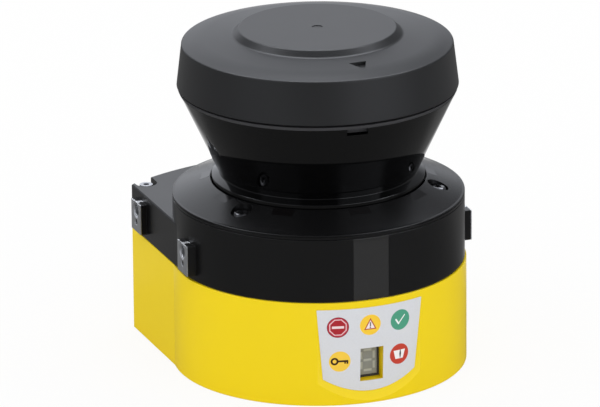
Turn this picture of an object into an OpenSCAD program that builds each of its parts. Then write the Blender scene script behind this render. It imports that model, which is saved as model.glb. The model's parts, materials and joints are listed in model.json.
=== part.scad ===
// Safety laser scanner with a round front, a square rear box and a cap-shaped scan head.
// +Z is up, the front faces -Y, and the origin is on the scan axis at the underside of the base.

/* [Housing] */
// Radius of the round front of the base housing
base_r = 74.8; // [70:0.2:92]
// Height of the base housing
base_h = 54.2; // [52:0.2:66]
// How far the black ring stands in from the base housing
ring_step = 0.8; // [0.4:0.1:2]
// Half of the width of the rear box
box_half = 73.6; // [68:0.2:90]
// Distance from the scan axis to the flat middle of the rear wall
rear_y = 95.5; // [92:0.5:114]
// Radius of the bowed rear wall
rear_arc_r = 138; // [125:1:200]
// How far the bow would stand out past the flat middle
rear_bow = 2.2; // [1:0.1:4]
// Radius on the upright rear edges
edge_r = 1.5; // [1:0.5:3]
// Wall of the two housings
wall = 3.5; // [2.8:0.1:5]
// Floor of the base housing and of the upper housing
floor_t = 4; // [3:0.5:6]
// Height of the rear box top above the floor that the scanner stands on
box_top = 77.6; // [74:0.2:84]
// Height of the rim where the conical ring cover starts
rim_z = 90; // [88:0.2:98]
// Thickness of the flat seal between the two housings
seal_t = 0.6; // [0.4:0.1:1.5]

/* [Display panel] */
// Height of the top edge of the recessed panel
panel_top = 51.2; // [48:0.2:52]
// How deep the panel sits at its lower edge
panel_depth = 2.4; // [1.5:0.1:3]
// Angle from the middle to the side of the panel
panel_half_deg = 21.6; // [18:0.2:24]
// Height of the lowest point of the sloped sill
sill_low = 1.5; // [1:0.1:3]
// Angle of the sloped sill above the horizontal
sill_deg = 63; // [50:1:70]
// Thickness of the printed panel foil
foil_t = 0.4; // [0.2:0.1:0.6]
// Width of the digit window
digit_w = 12.3; // [10:0.1:14]
// Lower and upper edge of the digit window
digit_z = [11.4, 29];
// Depth of the digit window below the panel
digit_deep = 5.5; // [4:0.1:6.5]
// Width of the dark border round the digit plate
digit_border = 1.3; // [0.8:0.1:2]

/* [Fixing points] */
// Half of the width over the machined side bosses
boss_x = 77; // [76:0.2:94]
// Fore and aft places of the side bosses
boss_y = [-9.3, 60.2];
// Width of a side boss
boss_w = 13.8; // [12:0.2:16]
// Lower and upper edge of a side boss
boss_z = [57.6, 73.4];
// Tapped radius of the side holes
side_hole_r = 3.4; // [2.5:0.1:4]
// Depth of the side holes
side_hole_l = 9; // [6:0.5:10]
// Height of the side holes
side_hole_z = 69; // [68:0.2:69.2]
// Tapped radius of the rear holes
rear_hole_r = 2.5; // [2:0.1:3]
// Depth of the rear holes
rear_hole_l = 8; // [6:0.5:9]
// Half of the distance between the rear holes across the scanner
rear_hole_x = 46; // [45.5:0.5:48]
// Heights of the lower and upper rear holes
rear_hole_z = [13, 67];

/* [Ring cover] */
// Radius of the round hole in the ring cover
lip_r = 54.6; // [53:0.2:57]
// Height of the edge of that hole
lip_z = 97; // [96:0.2:99]
// Thickness of the ring cover
cover_t = 2.6; // [2:0.1:3.2]
// Height of the upright rim of the ring cover
rim_h = 3; // [2.6:0.2:5]
// Distance of the cover screws from the scan axis
cover_screw_r = 61; // [60:0.5:63]
// Width of a sensor window in the ring cover
ring_window_w = 11; // [8:0.5:13]

/* [Optics cover] */
// Outer radius at the foot of the cone
cone_foot_r = 51.2; // [48:0.2:52]
// Height of the foot of the cone
cone_foot_z = 102.7; // [101:0.2:104]
// Height of the top of the cone
cone_top_z = 143; // [141:0.2:143.4]
// Half angle of the cone
cone_deg = 24.85; // [20:0.1:26]
// Wall of the optics cover
cone_t = 2.4; // [1.8:0.1:3]

/* [Head cap] */
// Height of the top face
cap_z = 175.3; // [172:0.2:190]
// Radius of the raised disc on the top face
cap_disc_r = 39.6; // [36:0.2:42]
// Height of the lower edge of the cap
cap_low_z = 145.7; // [145:0.1:150]
// Wall of the cap
cap_t = 2.4; // [2:0.1:3]

/* [Scan unit] */
// Height of the scan plane
scan_z = 112; // [110:0.5:114]
// Radius of the mirror carrier
carrier_r = 23; // [18:0.5:26]
// Thickness of the mirror
mirror_t = 3; // [2:0.5:4]
// Radius of the receiver lens
lens_r = 24; // [20:0.5:26]
// Radius of the motor shaft
shaft_r = 2.5; // [2:0.1:3]
// Radial clearance of what turns on or fits over the shaft
shaft_fit = 0.03; // [0.01:0.01:0.1]
// Outer radius of a ball bearing
bearing_r = 6.5; // [6:0.1:8]
// Width of a ball bearing
bearing_w = 4; // [3:0.5:5]

/* [Hidden] */
$fn = 96;

eps = 0.01;          // overlap of cutters past the faces that they cut
far = 300;           // larger than the scanner, for half spaces
fit = 0.2;           // clearance between pieces that slot together
thread_fit = 0.05;   // between a screw and its tapped hole
pcb_t = 1.6;         // every circuit board

// Screws: [shank radius, head radius, head height, drive radius]
m3 = [1.5, 2.9, 2, 1.3];
m4 = [2, 3.8, 2.6, 1.6];
m5 = [2.5, 4.25, 5, 2.3];
rear_screw = [2, 3.4, 3, 1.7];
cover_screw = [2, 4.3, 2.8, 1.9];

ring_r = base_r - ring_step;
inner_r = ring_r - wall;
upper_z = base_h + seal_t;
deck_z = upper_z + floor_t;            // top of the upper housing's floor
arc_y = rear_y + rear_bow - rear_arc_r;                            // centre of the bow
corner_y = arc_y + sqrt(pow(rear_arc_r, 2) - pow(box_half, 2));    // where the bow meets the side wall

// ---------------------------------------------------------------- outline helpers

function unit(v) = v / norm(v);

// Rear box drawn in by a distance: straight sides, a bowed rear wall with a flat middle, rounded corners.
module box_block(in, h) {
    r = max(edge_r - in, 1);
    x = box_half - in - r;
    y = arc_y + sqrt(pow(rear_arc_r - in - r, 2) - x * x);
    out = unit([x, y - arc_y]);        // from the bow's centre to the corner's centre
    difference() {
        intersection() {
            translate([-box_half + in, in, 0]) cube([2 * (box_half - in), rear_y - 2 * in, h]);
            translate([0, arc_y, -1]) cylinder(h + 2, r = rear_arc_r - in);
        }
        both_sides() translate([x, y, -1]) linear_extrude(h + 2)
            polygon([[0, 0], [r + 9, 0], [r + 9, r + 9], (r + 9) * out]);
    }
    both_sides() translate([x, y, 0]) cylinder(h, r = r);
}

// A full-height block on the housing's plan: round front and rear box.
module plan_block(r, in, h) {
    cylinder(h, r = r);
    box_block(in, h);
}

// Half spaces and a cone that break the upper edge of the rear box.
module box_edge_cut(size) {
    both_sides() translate([-box_half, 0, 0]) rotate([0, 0, 90]) half_space_cut(size);
    translate([0, rear_y, 0]) half_space_cut(size);
    translate([0, arc_y, -10]) difference() {
        cylinder(20, r = rear_arc_r + 20);
        translate([0, 0, -1]) cylinder(22, r1 = rear_arc_r - size + 11, r2 = rear_arc_r - size - 11);
    }
}

module half_space_cut(size) {
    rotate([-45, 0, 0]) translate([-far, -far, -size / sqrt(2)]) cube([2 * far, 2 * far, far]);
}

module both_sides() {
    children();
    mirror([1, 0, 0]) children();
}

module around(angles, r) {
    for (a = angles) rotate([0, 0, a]) translate([0, -r, 0]) children();
}

module tube(h, ro, ri) {
    difference() {
        cylinder(h, r = ro);
        translate([0, 0, -eps]) cylinder(h + 2 * eps, r = ri);
    }
}

// Screw with its head seat at z = 0 and its shank pointing down.
module screw(s, length, domed = false) {
    difference() {
        union() {
            translate([0, 0, -length]) cylinder(length + eps, r = s[0]);
            if (domed)
                intersection() {
                    cylinder(s[2], r = s[1]);
                    translate([0, 0, s[2] - 1.6 * s[1]]) sphere(1.6 * s[1]);
                }
            else
                cylinder(s[2], r = s[1]);
        }
        translate([0, 0, s[2] * 0.45]) cylinder(s[2], r = s[3], $fn = 6);
    }
}

// ---------------------------------------------------------------- display panel

panel_low_r = base_r - panel_depth;    // radius of the panel face at the sill
panel_z0 = 6;                          // height at which that radius is reached
sill_k = tan(sill_deg);
pad_r = base_r - 6.3;                  // inside of the thickened front wall
pad_deg = panel_half_deg + 3;

function panel_r(z) = panel_low_r + (base_r - panel_low_r) * (z - panel_z0) / (panel_top - panel_z0);

// Everything outside the tapering panel face, from below the sill to the panel's top edge.
module outside_panel(offset) {
    z0 = -5;
    rotate_extrude()
        polygon([[panel_r(z0) + offset, z0], [far / 3, z0], [far / 3, panel_top], [panel_r(panel_top) + offset, panel_top]]);
}

// Plan of the panel: its slanted side walls meet the face nearer the middle low down.
module panel_sides(in) {
    a = panel_half_deg;
    p = [base_r * sin(a), -base_r * cos(a)];
    q = [panel_low_r * sin(a - 2.8), -panel_low_r * cos(a - 2.8)];
    d = unit(p - q);
    s = [[p[0] + 12 * d[0] - in, p[1] + 12 * d[1]], [q[0] - 4 * d[0] - in, q[1] - 4 * d[1]]];
    translate([0, 0, -10]) linear_extrude(far / 2)
        polygon([[-s[0][0], -far / 3], [-s[0][0], s[0][1]], [-s[1][0], s[1][1]],
                 [s[1][0], s[1][1]], [s[0][0], s[0][1]], [s[0][0], -far / 3]]);
}

// Space above the sloped sill, which runs down and out to the housing's face.
module above_sill(up) {
    translate([0, -base_r, sill_low + up]) rotate([sill_deg, 0, 0])
        translate([-far / 2, -far / 2, 0]) cube([far, far, far]);
}

module panel_space(offset, in, up) {
    intersection() {
        outside_panel(offset);
        panel_sides(in);
        above_sill(up);
    }
}

module digit_slot(grow) {
    translate([-digit_w / 2 - grow, -base_r - 5, digit_z[0] - grow])
        cube([digit_w + 2 * grow, 20, digit_z[1] - digit_z[0] + 2 * grow]);
}

lamp_places = [for (a = [-12.8, 0, 12.8]) [a, 41.4], for (a = [-12.1, 12.1]) [a, 23]];
lamp_r = 2;

module at_lamps() {
    for (p = lamp_places) translate([base_r * sin(p[0]), 0, p[1]]) children();
}

// ---------------------------------------------------------------- base housing

front_screw = [48, -40];               // housing screws under the front
front_seat = 6.5;                      // height of their head seats
post_r = 5.5;
notch_r = 5.6;                         // half width of the rear corner notches
notch = [box_half - 7.6, corner_y - 1.3];
notch_seat = 74;                       // height of the screw seats in the notches
main_board_z = 22;
board_posts = [for (x = [-54, 54], y = [-22, 16, 50]) [x, y]];
bay = [32, 26, [5.5, 48.5]];           // rear connector bay: half width, depth, heights
bay_t = 2.5;
plug_flange = [38, 3.5, [2.8, 51.4]];  // rear plug flange: half width, thickness, heights
plug_screw = [35.2, [6, 48.2]];
service = [48, 27, 9];                 // service socket: y, height, recess radius
service_deep = 5;
panel_posts = [24, [14, 46]];
display_y = 17.8 - base_r;             // front face of the display board
digit_face = -panel_r((digit_z[0] + digit_z[1]) / 2) + digit_deep;     // front of the digit display

module base_housing() color("gold")
difference() {
    union() {
        difference() {
            plan_block(base_r, 0, base_h);
            translate([0, 0, floor_t]) plan_block(base_r - wall, wall, base_h);
        }
        // thickened front wall behind the panel
        intersection() {
            translate([0, 0, floor_t - 1]) tube(base_h - floor_t + 1, base_r - 1.5, pad_r);
            translate([0, 0, -1]) linear_extrude(far) polygon([
                [0, 0], far * [-sin(pad_deg), -cos(pad_deg)], far * [sin(pad_deg), -cos(pad_deg)]]);
        }
        digit_frame();
        for (p = board_posts) translate([p[0], p[1], 1]) cylinder(main_board_z - 1, r = 3.5);
        both_sides() {
            translate([front_screw[0], front_screw[1], 1]) cylinder(base_h - 1, r = post_r + 1);
            intersection() {
                translate([notch[0], notch[1], 1]) cylinder(base_h - 1, r = notch_r + 1.5);
                box_block(0.5, far);
            }
            for (z = panel_posts[1])
                translate([panel_posts[0], display_y, z]) rotate([90, 0, 0]) cylinder(12, r = 3);
            rear_pad(rear_hole_z[0]);
        }
        bay_walls();
        service_boss();
    }
    panel_space(0, 0, 0);
    digit_slot(0);
    at_lamps() translate([0, -base_r + 20, 0]) rotate([90, 0, 0]) cylinder(30, r = lamp_r + fit);
    underside();
    both_sides() {
        translate([front_screw[0], front_screw[1], -1]) cylinder(far, r = m5[0] + 0.3);
        translate([front_screw[0], front_screw[1], -1]) cylinder(front_seat + 1, r = m5[1] + 0.5);
        translate([notch[0], notch[1], base_h - 14]) cylinder(20, r = rear_screw[0] + thread_fit);
        for (z = panel_posts[1])
            translate([panel_posts[0], display_y + 1, z]) rotate([90, 0, 0]) cylinder(8, r = m3[0] + thread_fit);
        translate([rear_hole_x, rear_y + 1, rear_hole_z[0]]) rotate([90, 0, 0]) cylinder(rear_hole_l + 1, r = rear_hole_r);
        for (z = plug_screw[1])
            translate([plug_screw[0], rear_y + 1, z]) rotate([90, 0, 0]) cylinder(14, r = m3[0] + thread_fit);
    }
    for (p = board_posts) translate([p[0], p[1], main_board_z - 10]) cylinder(20, r = m3[0] + thread_fit);
    // flange seat and bay opening in the rear wall
    translate([-plug_flange[0] - fit, rear_y - plug_flange[1], plug_flange[2][0] - fit])
        cube([2 * (plug_flange[0] + fit), 20, plug_flange[2][1] - plug_flange[2][0] + 2 * fit]);
    translate([-bay[0], rear_y - bay[1], bay[2][0]]) cube([2 * bay[0], 60, bay[2][1] - bay[2][0]]);
    translate([-contact_w / 2 - fit, rear_y - bay[1] - bay_t - 1, contact_z[0] - fit])
        cube([contact_w + 2 * fit, bay_t + 2, contact_z[1] - contact_z[0] + 2 * fit]);
    // service socket recess and hole in the right side
    translate([box_half - service_deep, service[0], service[1]]) rotate([0, 90, 0]) cylinder(20, r = service[2]);
    translate([box_half - 20, service[0], service[1]]) rotate([0, 90, 0]) cylinder(20, r = 6);
}

// Deep frame that the digits are read through.
module digit_frame() {
    y0 = -base_r + panel_depth + 0.8;
    translate([-digit_w / 2 - 2.5, y0, digit_z[0] - 2.5])
        cube([digit_w + 5, digit_face - y0 + 4, digit_z[1] - digit_z[0] + 5]);
}

// Round pads with the tapped holes of the rear wall.
module rear_pad(z) {
    translate([rear_hole_x, rear_y, z]) rotate([90, 0, 0]) cylinder(rear_hole_l + 3, r = 6.5);
}

module bay_walls() {
    w = bay[0] + bay_t;
    y0 = rear_y - bay[1] - bay_t;
    intersection() {
        union() {
            translate([-w, y0, 1]) cube([2 * w, rear_y - y0 - 1, bay[2][1] + bay_t - 1]);
            translate([-plug_flange[0] - 2, rear_y - 12, 1]) cube([2 * plug_flange[0] + 4, 11, base_h - 2]);
        }
        box_block(0.5, far);
    }
}

module service_boss() {
    translate([box_half - 12, service[0], service[1]]) rotate([0, 90, 0]) cylinder(11, r = service[2] + 2.5);
}

// Shallow hollow under the base that leaves a rim and a pad on the scan axis to stand on.
module underside() {
    difference() {
        translate([0, 0, -1]) plan_block(base_r - 7, 7, 1.8);
        translate([0, 0, -2]) cylinder(4, r = 14);
        both_sides() {
            translate([front_screw[0], front_screw[1], -2]) cylinder(4, r = post_r + 3);
            translate([notch[0] - 12, notch[1] - 12, -2]) cylinder(4, r = post_r + 3);
        }
    }
}

module housing_seal() color("dimgray")
difference() {
    translate([0, 0, base_h]) plan_block(ring_r - 0.6, 1.4, seal_t);
    translate([0, 0, base_h - 1]) plan_block(inner_r - 2, wall + 2, seal_t + 2);
    both_sides() translate([notch[0], notch[1], base_h - 1]) cylinder(seal_t + 2, r = rear_screw[0] + 0.4);
}

// ---------------------------------------------------------------- upper housing

ring_top = rim_z - rim_h;              // top of the cast ring, under the ring cover
roof_t = 3;
cover_screw_deg = [-60, 60, 180];
chassis_z = ring_top - 5;              // seat of the optics chassis inside the ring
link_place = [0, 38];                  // board link through the floor
head_board_z = deck_z + 5;
head_posts = [for (a = [-100, -30, 30, 100]) [50 * sin(a), -50 * cos(a)]];

module upper_housing() color([0.09, 0.09, 0.1])
difference() {
    union() {
        difference() {
            translate([0, 0, upper_z]) union() {
                cylinder(ring_top - upper_z, r = ring_r);
                difference() {
                    box_block(0, box_top - upper_z);
                    translate([0, 0, box_top - upper_z]) box_edge_cut(0.7);
                }
            }
            translate([0, 0, deck_z]) cylinder(far, r = inner_r);
            translate([0, 0, deck_z]) box_block(wall, box_top - roof_t - deck_z);
        }
        for (y = boss_y) both_sides() side_boss(y);
        around(cover_screw_deg, cover_screw_r) translate([0, 0, deck_z - 1]) cylinder(chassis_z - deck_z + 1, r = 5);
        for (p = head_posts) translate([p[0], p[1], deck_z - 1]) cylinder(head_board_z - deck_z + 1, r = 3.2);
        both_sides() {
            translate([front_screw[0], front_screw[1], deck_z - 1]) cylinder(10, r = post_r);
            intersection() {
                translate([notch[0], notch[1], upper_z]) cylinder(box_top - upper_z - 0.5, r = notch_r + 2.2);
                translate([0, 0, upper_z]) box_block(0.5, far);
            }
            rear_pad(rear_hole_z[1]);
        }
        // ledge that carries the optics chassis
        translate([0, 0, chassis_z - 3]) tube(3, ring_r - 1, inner_r - 2.5);
    }
    translate([0, 0, upper_z - 1]) cylinder(floor_t + 2, r = 31);
    translate([link_place[0] - 22, link_place[1] - 6, upper_z - 1]) cube([44, 12, floor_t + 2]);
    around(cover_screw_deg, cover_screw_r) translate([0, 0, chassis_z - 14]) cylinder(20, r = m4[0] + thread_fit);
    for (p = head_posts) translate([p[0], p[1], head_board_z - 7]) cylinder(20, r = m3[0] + thread_fit);
    // the lens board's rear passage between ring and box
    for (y = boss_y) both_sides() side_boss_holes(y);
    both_sides() {
        translate([front_screw[0], front_screw[1], upper_z - 1]) cylinder(12, r = m5[0] + thread_fit);
        corner_notch();
        translate([rear_hole_x, rear_y + 1, rear_hole_z[1]]) rotate([90, 0, 0]) cylinder(rear_hole_l + 1, r = rear_hole_r);
    }
    front_flat();
}

// Machined boss on the side, thickened inwards for the tapped hole.
module side_boss(y) {
    in = boss_x - side_hole_l - 5;
    translate([in, y - boss_w / 2, upper_z + 0.5])
        cube([box_half - 1.5 - in, boss_w, box_top - roof_t - upper_z]);
    translate([in, y - boss_w / 2, boss_z[0]]) cube([boss_x - in, boss_w, boss_z[1] - boss_z[0]]);
}

// Tapped hole and, below it, a dimple that locates a bracket.
module side_boss_holes(y) {
    translate([boss_x + 1, y, side_hole_z]) rotate([0, -90, 0]) cylinder(side_hole_l + 1, r = side_hole_r);
    translate([boss_x, y, boss_z[0] + 5]) rotate([0, -90, 0]) {
        translate([0, 0, -1]) cylinder(2.2, r = 1.3);
        translate([0, 0, -eps]) cylinder(0.6, r1 = 1.9, r2 = 1.3);
    }
}

// Notch in the rear corner that a screwdriver reaches down through.
module corner_notch() {
    translate([notch[0], notch[1], notch_seat]) cylinder(20, r = notch_r);
    translate([notch[0] - notch_r, notch[1], notch_seat]) cube([2 * notch_r, 30, 20]);
    translate([notch[0], notch[1], upper_z - 1]) cylinder(30, r = rear_screw[0] + 0.3);
}

flat_w = 19;                           // small flat on the front of the ring
flat_in = 0.9;
module front_flat() {
    translate([-flat_w / 2, -ring_r - 1, upper_z - 1]) cube([flat_w, 1 + flat_in, ring_top - upper_z + 0.2]);
}

module front_housing_screws() color("silver")
both_sides() translate([front_screw[0], front_screw[1], front_seat]) rotate([180, 0, 0]) screw(m5, upper_z + 9 - front_seat);

module rear_housing_screws() color("silver")
both_sides() translate([notch[0], notch[1], notch_seat]) screw(rear_screw, notch_seat - base_h + 11);

// ---------------------------------------------------------------- display parts

module panel_foil() color("gainsboro")
difference() {
    intersection() {
        panel_space(0, 0.5, 0.6);
        rotate_extrude() polygon([
            [panel_r(0) - 3, 0], [panel_r(0) + foil_t, 0],
            [panel_r(panel_top) + foil_t, panel_top - 0.4], [panel_r(panel_top) - 3, panel_top - 0.4]]);
    }
    digit_slot(0);
}

// Black case of the digit display, with a recess for its grey plate.
module digit_display() color([0.1, 0.1, 0.1])
difference() {
    digit_box(digit_face, fit, display_y - digit_face);
    digit_box(digit_face - 1, digit_border, 2);
}

// Grey plate with the bars of an unlit digit as shallow grooves.
module digit_plate() color("darkgray")
difference() {
    digit_box(digit_face + 0.15, digit_border + 0.05, 0.85);
    translate([0, digit_face - 0.5, (digit_z[0] + digit_z[1]) / 2]) seven_segments(0.8);
}

module digit_box(y, in, deep) {
    translate([-digit_w / 2 + in, y, digit_z[0] + in])
        cube([digit_w - 2 * in, deep, digit_z[1] - digit_z[0] - 2 * in]);
}

// Bars in the shape of a seven-segment digit.
module seven_segments(deep) {
    bar = 4.2;
    rise = 5.3;
    thick = 1.2;
    for (k = [-1, 0, 1]) translate([-bar / 2, 0, k * rise - thick / 2]) cube([bar, deep, thick]);
    for (sx = [-1, 1], k = [-1, 1])
        translate([sx * (bar / 2 + thick) - thick / 2, 0, k * rise / 2 - rise / 2 + thick * 0.7])
            cube([thick, deep, rise - thick * 1.4]);
}

module panel_lamps() color("white")
at_lamps() translate([0, display_y, 0]) rotate([90, 0, 0]) {
    cylinder(1.5, r = 2.6);
    cylinder(6, r = lamp_r);
    translate([0, 0, 6]) intersection() {
        sphere(lamp_r);
        cylinder(lamp_r, r = lamp_r);
    }
}

module display_board() color("darkgreen")
difference() {
    translate([-29, display_y, 8]) cube([58, pcb_t, 43]);
    both_sides() for (z = panel_posts[1])
        translate([panel_posts[0], display_y + 3, z]) rotate([90, 0, 0]) cylinder(6, r = m3[0] + 0.2);
}

module display_board_screws() color("silver")
both_sides() for (z = panel_posts[1])
    translate([panel_posts[0], display_y + pcb_t, z]) rotate([-90, 0, 0]) screw(m3, 7, true);

// ---------------------------------------------------------------- base electronics

module main_board() color("darkgreen")
difference() {
    translate([0, 0, main_board_z]) linear_extrude(pcb_t)
        polygon([[-58, -28], [-40, -44], [40, -44], [58, -28], [58, 54], [-58, 54]]);
    for (p = board_posts) translate([p[0], p[1], main_board_z - 1]) cylinder(4, r = m3[0] + 0.2);
    both_sides() translate([front_screw[0], front_screw[1], main_board_z - 1]) cylinder(4, r = post_r + 1.6);
}

module main_board_parts() color([0.2, 0.2, 0.22]) {
    z = main_board_z + pcb_t;
    for (x = [-20, 6]) translate([x, -18, z]) cube([16, 16, 2.4]);
    for (i = [0 : 3]) translate([-46 + 13 * i, 8, z]) cube([10, 24, 12]);
    for (i = [0 : 2]) translate([18 + 12 * i, 12, z]) cylinder(14, r = 4.5);
    translate([-44, -24, z]) cube([14, 20, 3]);
    translate([30, -24, z]) cube([12, 12, 6]);
}

module main_board_screws() color("silver")
for (p = board_posts) translate([p[0], p[1], main_board_z + pcb_t]) screw(m3, 8, true);

// Stacking connector between the two boards, as a socket and a plug.
module board_link() color([0.12, 0.12, 0.12]) {
    z0 = main_board_z + pcb_t;
    split = z0 + 18;
    translate([link_place[0] - 20, link_place[1] - 4, z0]) cube([40, 8, split - z0]);
    translate([link_place[0] - 19, link_place[1] - 3.5, split]) cube([38, 7, head_board_z - split]);
}

module head_board() color("darkgreen")
difference() {
    translate([0, 0, head_board_z]) intersection() {
        tube(pcb_t, cover_screw_r - 6, holder_r + 2.5);
        translate([-far / 2, -38, -1]) cube([far, 84, 6]);
    }
    for (p = head_posts) translate([p[0], p[1], head_board_z - 1]) cylinder(4, r = m3[0] + 0.2);
}

module head_board_parts() color([0.2, 0.2, 0.22]) {
    z = head_board_z + pcb_t;
    both_sides() translate([34, -14, z]) cube([12, 12, 2.2]);
    translate([-44, 10, z]) cube([9, 16, 3]);
    translate([36, 12, z]) cylinder(6, r = 4);
}

module head_board_screws() color("silver")
for (p = head_posts) translate([p[0], p[1], head_board_z + pcb_t]) screw(m3, 5, true);

// ---------------------------------------------------------------- optics

chassis_t = 3;
collar = [45, 56.8];                    // inner and outer radius of the seat of the optics cover
flange_t = 2.4;
lip_k = (lip_z - rim_z) / (ring_r - 1.7 - lip_r);
cover_top = lip_z - cover_t;           // underside of the ring cover at its hole
flange_z = cover_top - flange_t - 0.1; // seat of the optics cover's flange
lens_top = scan_z - carrier_r - 5;     // clear of the turning carrier
holder_r = lens_r + 4;

module optics_chassis() color([0.16, 0.16, 0.17])
difference() {
    union() {
        translate([0, 0, chassis_z]) cylinder(chassis_t, r = inner_r - fit);
        translate([0, 0, chassis_z]) cylinder(flange_z - chassis_z, r = collar[1]);
    }
    translate([0, 0, chassis_z - 1]) cylinder(far, r = holder_r + fit);
    translate([0, 0, chassis_z + chassis_t]) cylinder(far, r = collar[0]);
    translate([0, 0, flange_z - 1.6]) tube(5, 54.2, 51.2);
    around(cover_screw_deg, cover_screw_r) translate([0, 0, chassis_z - 1]) cylinder(12, r = m4[0] + 0.3);
    column_screws() translate([0, 0, chassis_z - 1]) cylinder(10, r = m3[0] + 0.3);
    for (a = [-40, 40]) rotate([0, 0, a]) translate([0, -37, chassis_z - 1]) cylinder(12, r = m3[0] + thread_fit);
}

module optics_seal() color([0.1, 0.1, 0.1])
translate([0, 0, flange_z - 1.6]) tube(1.6, 54, 51.4);

// Barrel that hangs in the chassis and carries the lens and the receiver board.
module lens_holder() color([0.13, 0.13, 0.14])
difference() {
    union() {
        translate([0, 0, lens_top - 22]) cylinder(22, r = holder_r);
        translate([0, 0, chassis_z + chassis_t]) cylinder(2, r = holder_r + 4);
    }
    translate([0, 0, lens_top - 9]) cylinder(20, r = lens_r + 0.05);
    translate([0, 0, lens_top - 30]) cylinder(40, r = lens_r - 2);
}

module receiver_lens() color([0.75, 0.85, 0.9, 0.6])
intersection() {
    translate([0, 0, lens_top - 9]) cylinder(7, r = lens_r);
    translate([0, 0, lens_top - 2 - 46.3]) sphere(48);
}

// Small coated block on the lens that turns the laser beam up into the scan axis.
module folding_mirror() color([0.8, 0.85, 0.9])
translate([-3, 0, lens_top - 2]) rotate([90, 0, 0]) translate([0, 0, -3]) linear_extrude(6)
    polygon([[0, 0], [6, 0], [6, laser_z - lens_top - 1], [0, laser_z - lens_top + 5]]);

module receiver_board() color("darkgreen")
translate([0, 0, lens_top - 22 - pcb_t]) cylinder(pcb_t, r = holder_r);

module photodiode() color([0.25, 0.2, 0.2])
translate([0, 0, lens_top - 22]) {
    cylinder(3, r = 4.2);
    cylinder(3.6, r = 3.4);
}

laser_z = chassis_z + chassis_t + 4;   // height of the laser beam before it turns up
laser_x = holder_r + 5;                // rear end of the laser, clear of the lens holder
laser_l = collar[0] - 1 - laser_x;      // it ends inside the collar
module laser_module() color("goldenrod")
translate([laser_x, 0, laser_z]) rotate([0, 90, 0]) {
    tube(laser_l, 3.6, 2.2);
    translate([0, 0, 3]) cylinder(laser_l - 3.1, r = 2.21);
}

// Split block that clamps the laser to the chassis.
module laser_clamp() color("silver")
difference() {
    translate([laser_x + 1.5, -6, chassis_z + chassis_t]) cube([laser_l - 4, 12, laser_z + 5.5 - chassis_z - chassis_t]);
    translate([laser_x - 1, 0, laser_z]) rotate([0, 90, 0]) cylinder(20, r = 3.62);
    translate([laser_x - 1, -0.6, laser_z]) cube([20, 1.2, 20]);
}

// ---------------------------------------------------------------- ring cover

window_deg = [for (i = [-3 : 3]) 38.7 * i];
cover_k = atan(lip_k);
window_r = lip_r + 2.95;               // middle of a sensor window
window_l = 5.3;                        // length of a sensor window down the cone
pocket_r = 5.3;                        // recess round a cover screw

groove = 0.5;                          // depth of the grooves round the rim

// Height of the conical face, which starts just inside the rounded rim.
function cover_z(r) = rim_z + (ring_r - 1.7 - r) * lip_k;

screw_seat = cover_z(cover_screw_r) - 4.4;

module ring_cover() color([0.1, 0.1, 0.11])
difference() {
    union() {
        rotate_extrude() polygon([
            [lip_r, cover_top], [lip_r, lip_z - 0.3], [lip_r + 0.5, lip_z - 0.1], [ring_r - 1.7, cover_z(ring_r - 1.7)],
            [ring_r - 0.9, rim_z - 0.1], [ring_r - 0.3, rim_z - 0.5], [ring_r, rim_z - 1],
            [ring_r - groove, rim_z - 1.15], [ring_r - groove, rim_z - 1.45], [ring_r, rim_z - 1.6],
            [ring_r, ring_top + 0.4], [ring_r - groove, ring_top + 0.25], [ring_r - groove, ring_top + eps],
            [inner_r - fit, ring_top + eps], [inner_r - fit, ring_top - 1.5], [inner_r - 2.4, ring_top - 1.5],
            [inner_r - 2.4, cover_z(inner_r) - cover_t - 0.3], [collar[1] + 0.4, cover_z(collar[1]) - cover_t - 0.3],
            [collar[1] + 0.4, cover_top]]);
        around(cover_screw_deg, cover_screw_r)
            intersection() {
                translate([0, 0, chassis_z + chassis_t]) cylinder(20, r = pocket_r + 1.6);
                translate([0, cover_screw_r, 0]) rotate_extrude() polygon([
                    [0, 0], [ring_r - 2, 0], [ring_r - 2, cover_z(ring_r - 2) - 0.1],
                    [lip_r + 0.5, lip_z - 0.3], [0, lip_z - 0.3]]);
                translate([0, cover_screw_r, 0]) tube(far, far / 2, collar[1] + fit);
            }
    }
    around(cover_screw_deg, cover_screw_r) {
        translate([0, 0, screw_seat]) cylinder(20, r = pocket_r);
        cylinder(far, r = cover_screw[0] + 0.3);
    }
    at_ring_windows() translate([0, 0, 0.4]) cube([ring_window_w, window_l, 3], center = true);
}

module at_ring_windows() {
    around(window_deg, window_r) translate([0, 0, cover_z(window_r)]) rotate([cover_k, 0, 0]) children();
}

module ring_windows() color([0.2, 0.05, 0.08])
at_ring_windows() translate([0, 0, -0.575]) cube([ring_window_w - 0.1, window_l - 0.1, 1.05], center = true);

module ring_cover_screws() color("silver")
around(cover_screw_deg, cover_screw_r) translate([0, 0, screw_seat]) screw(cover_screw, screw_seat - chassis_z + 11, true);

// ---------------------------------------------------------------- optics cover

cone_k = tan(cone_deg);
function cone_r(z) = cone_foot_r + (z - cone_foot_z) * cone_k;

cover_notch = [10.8, 3.7, -4.2];       // notch in the top edge: width, depth and direction

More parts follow.
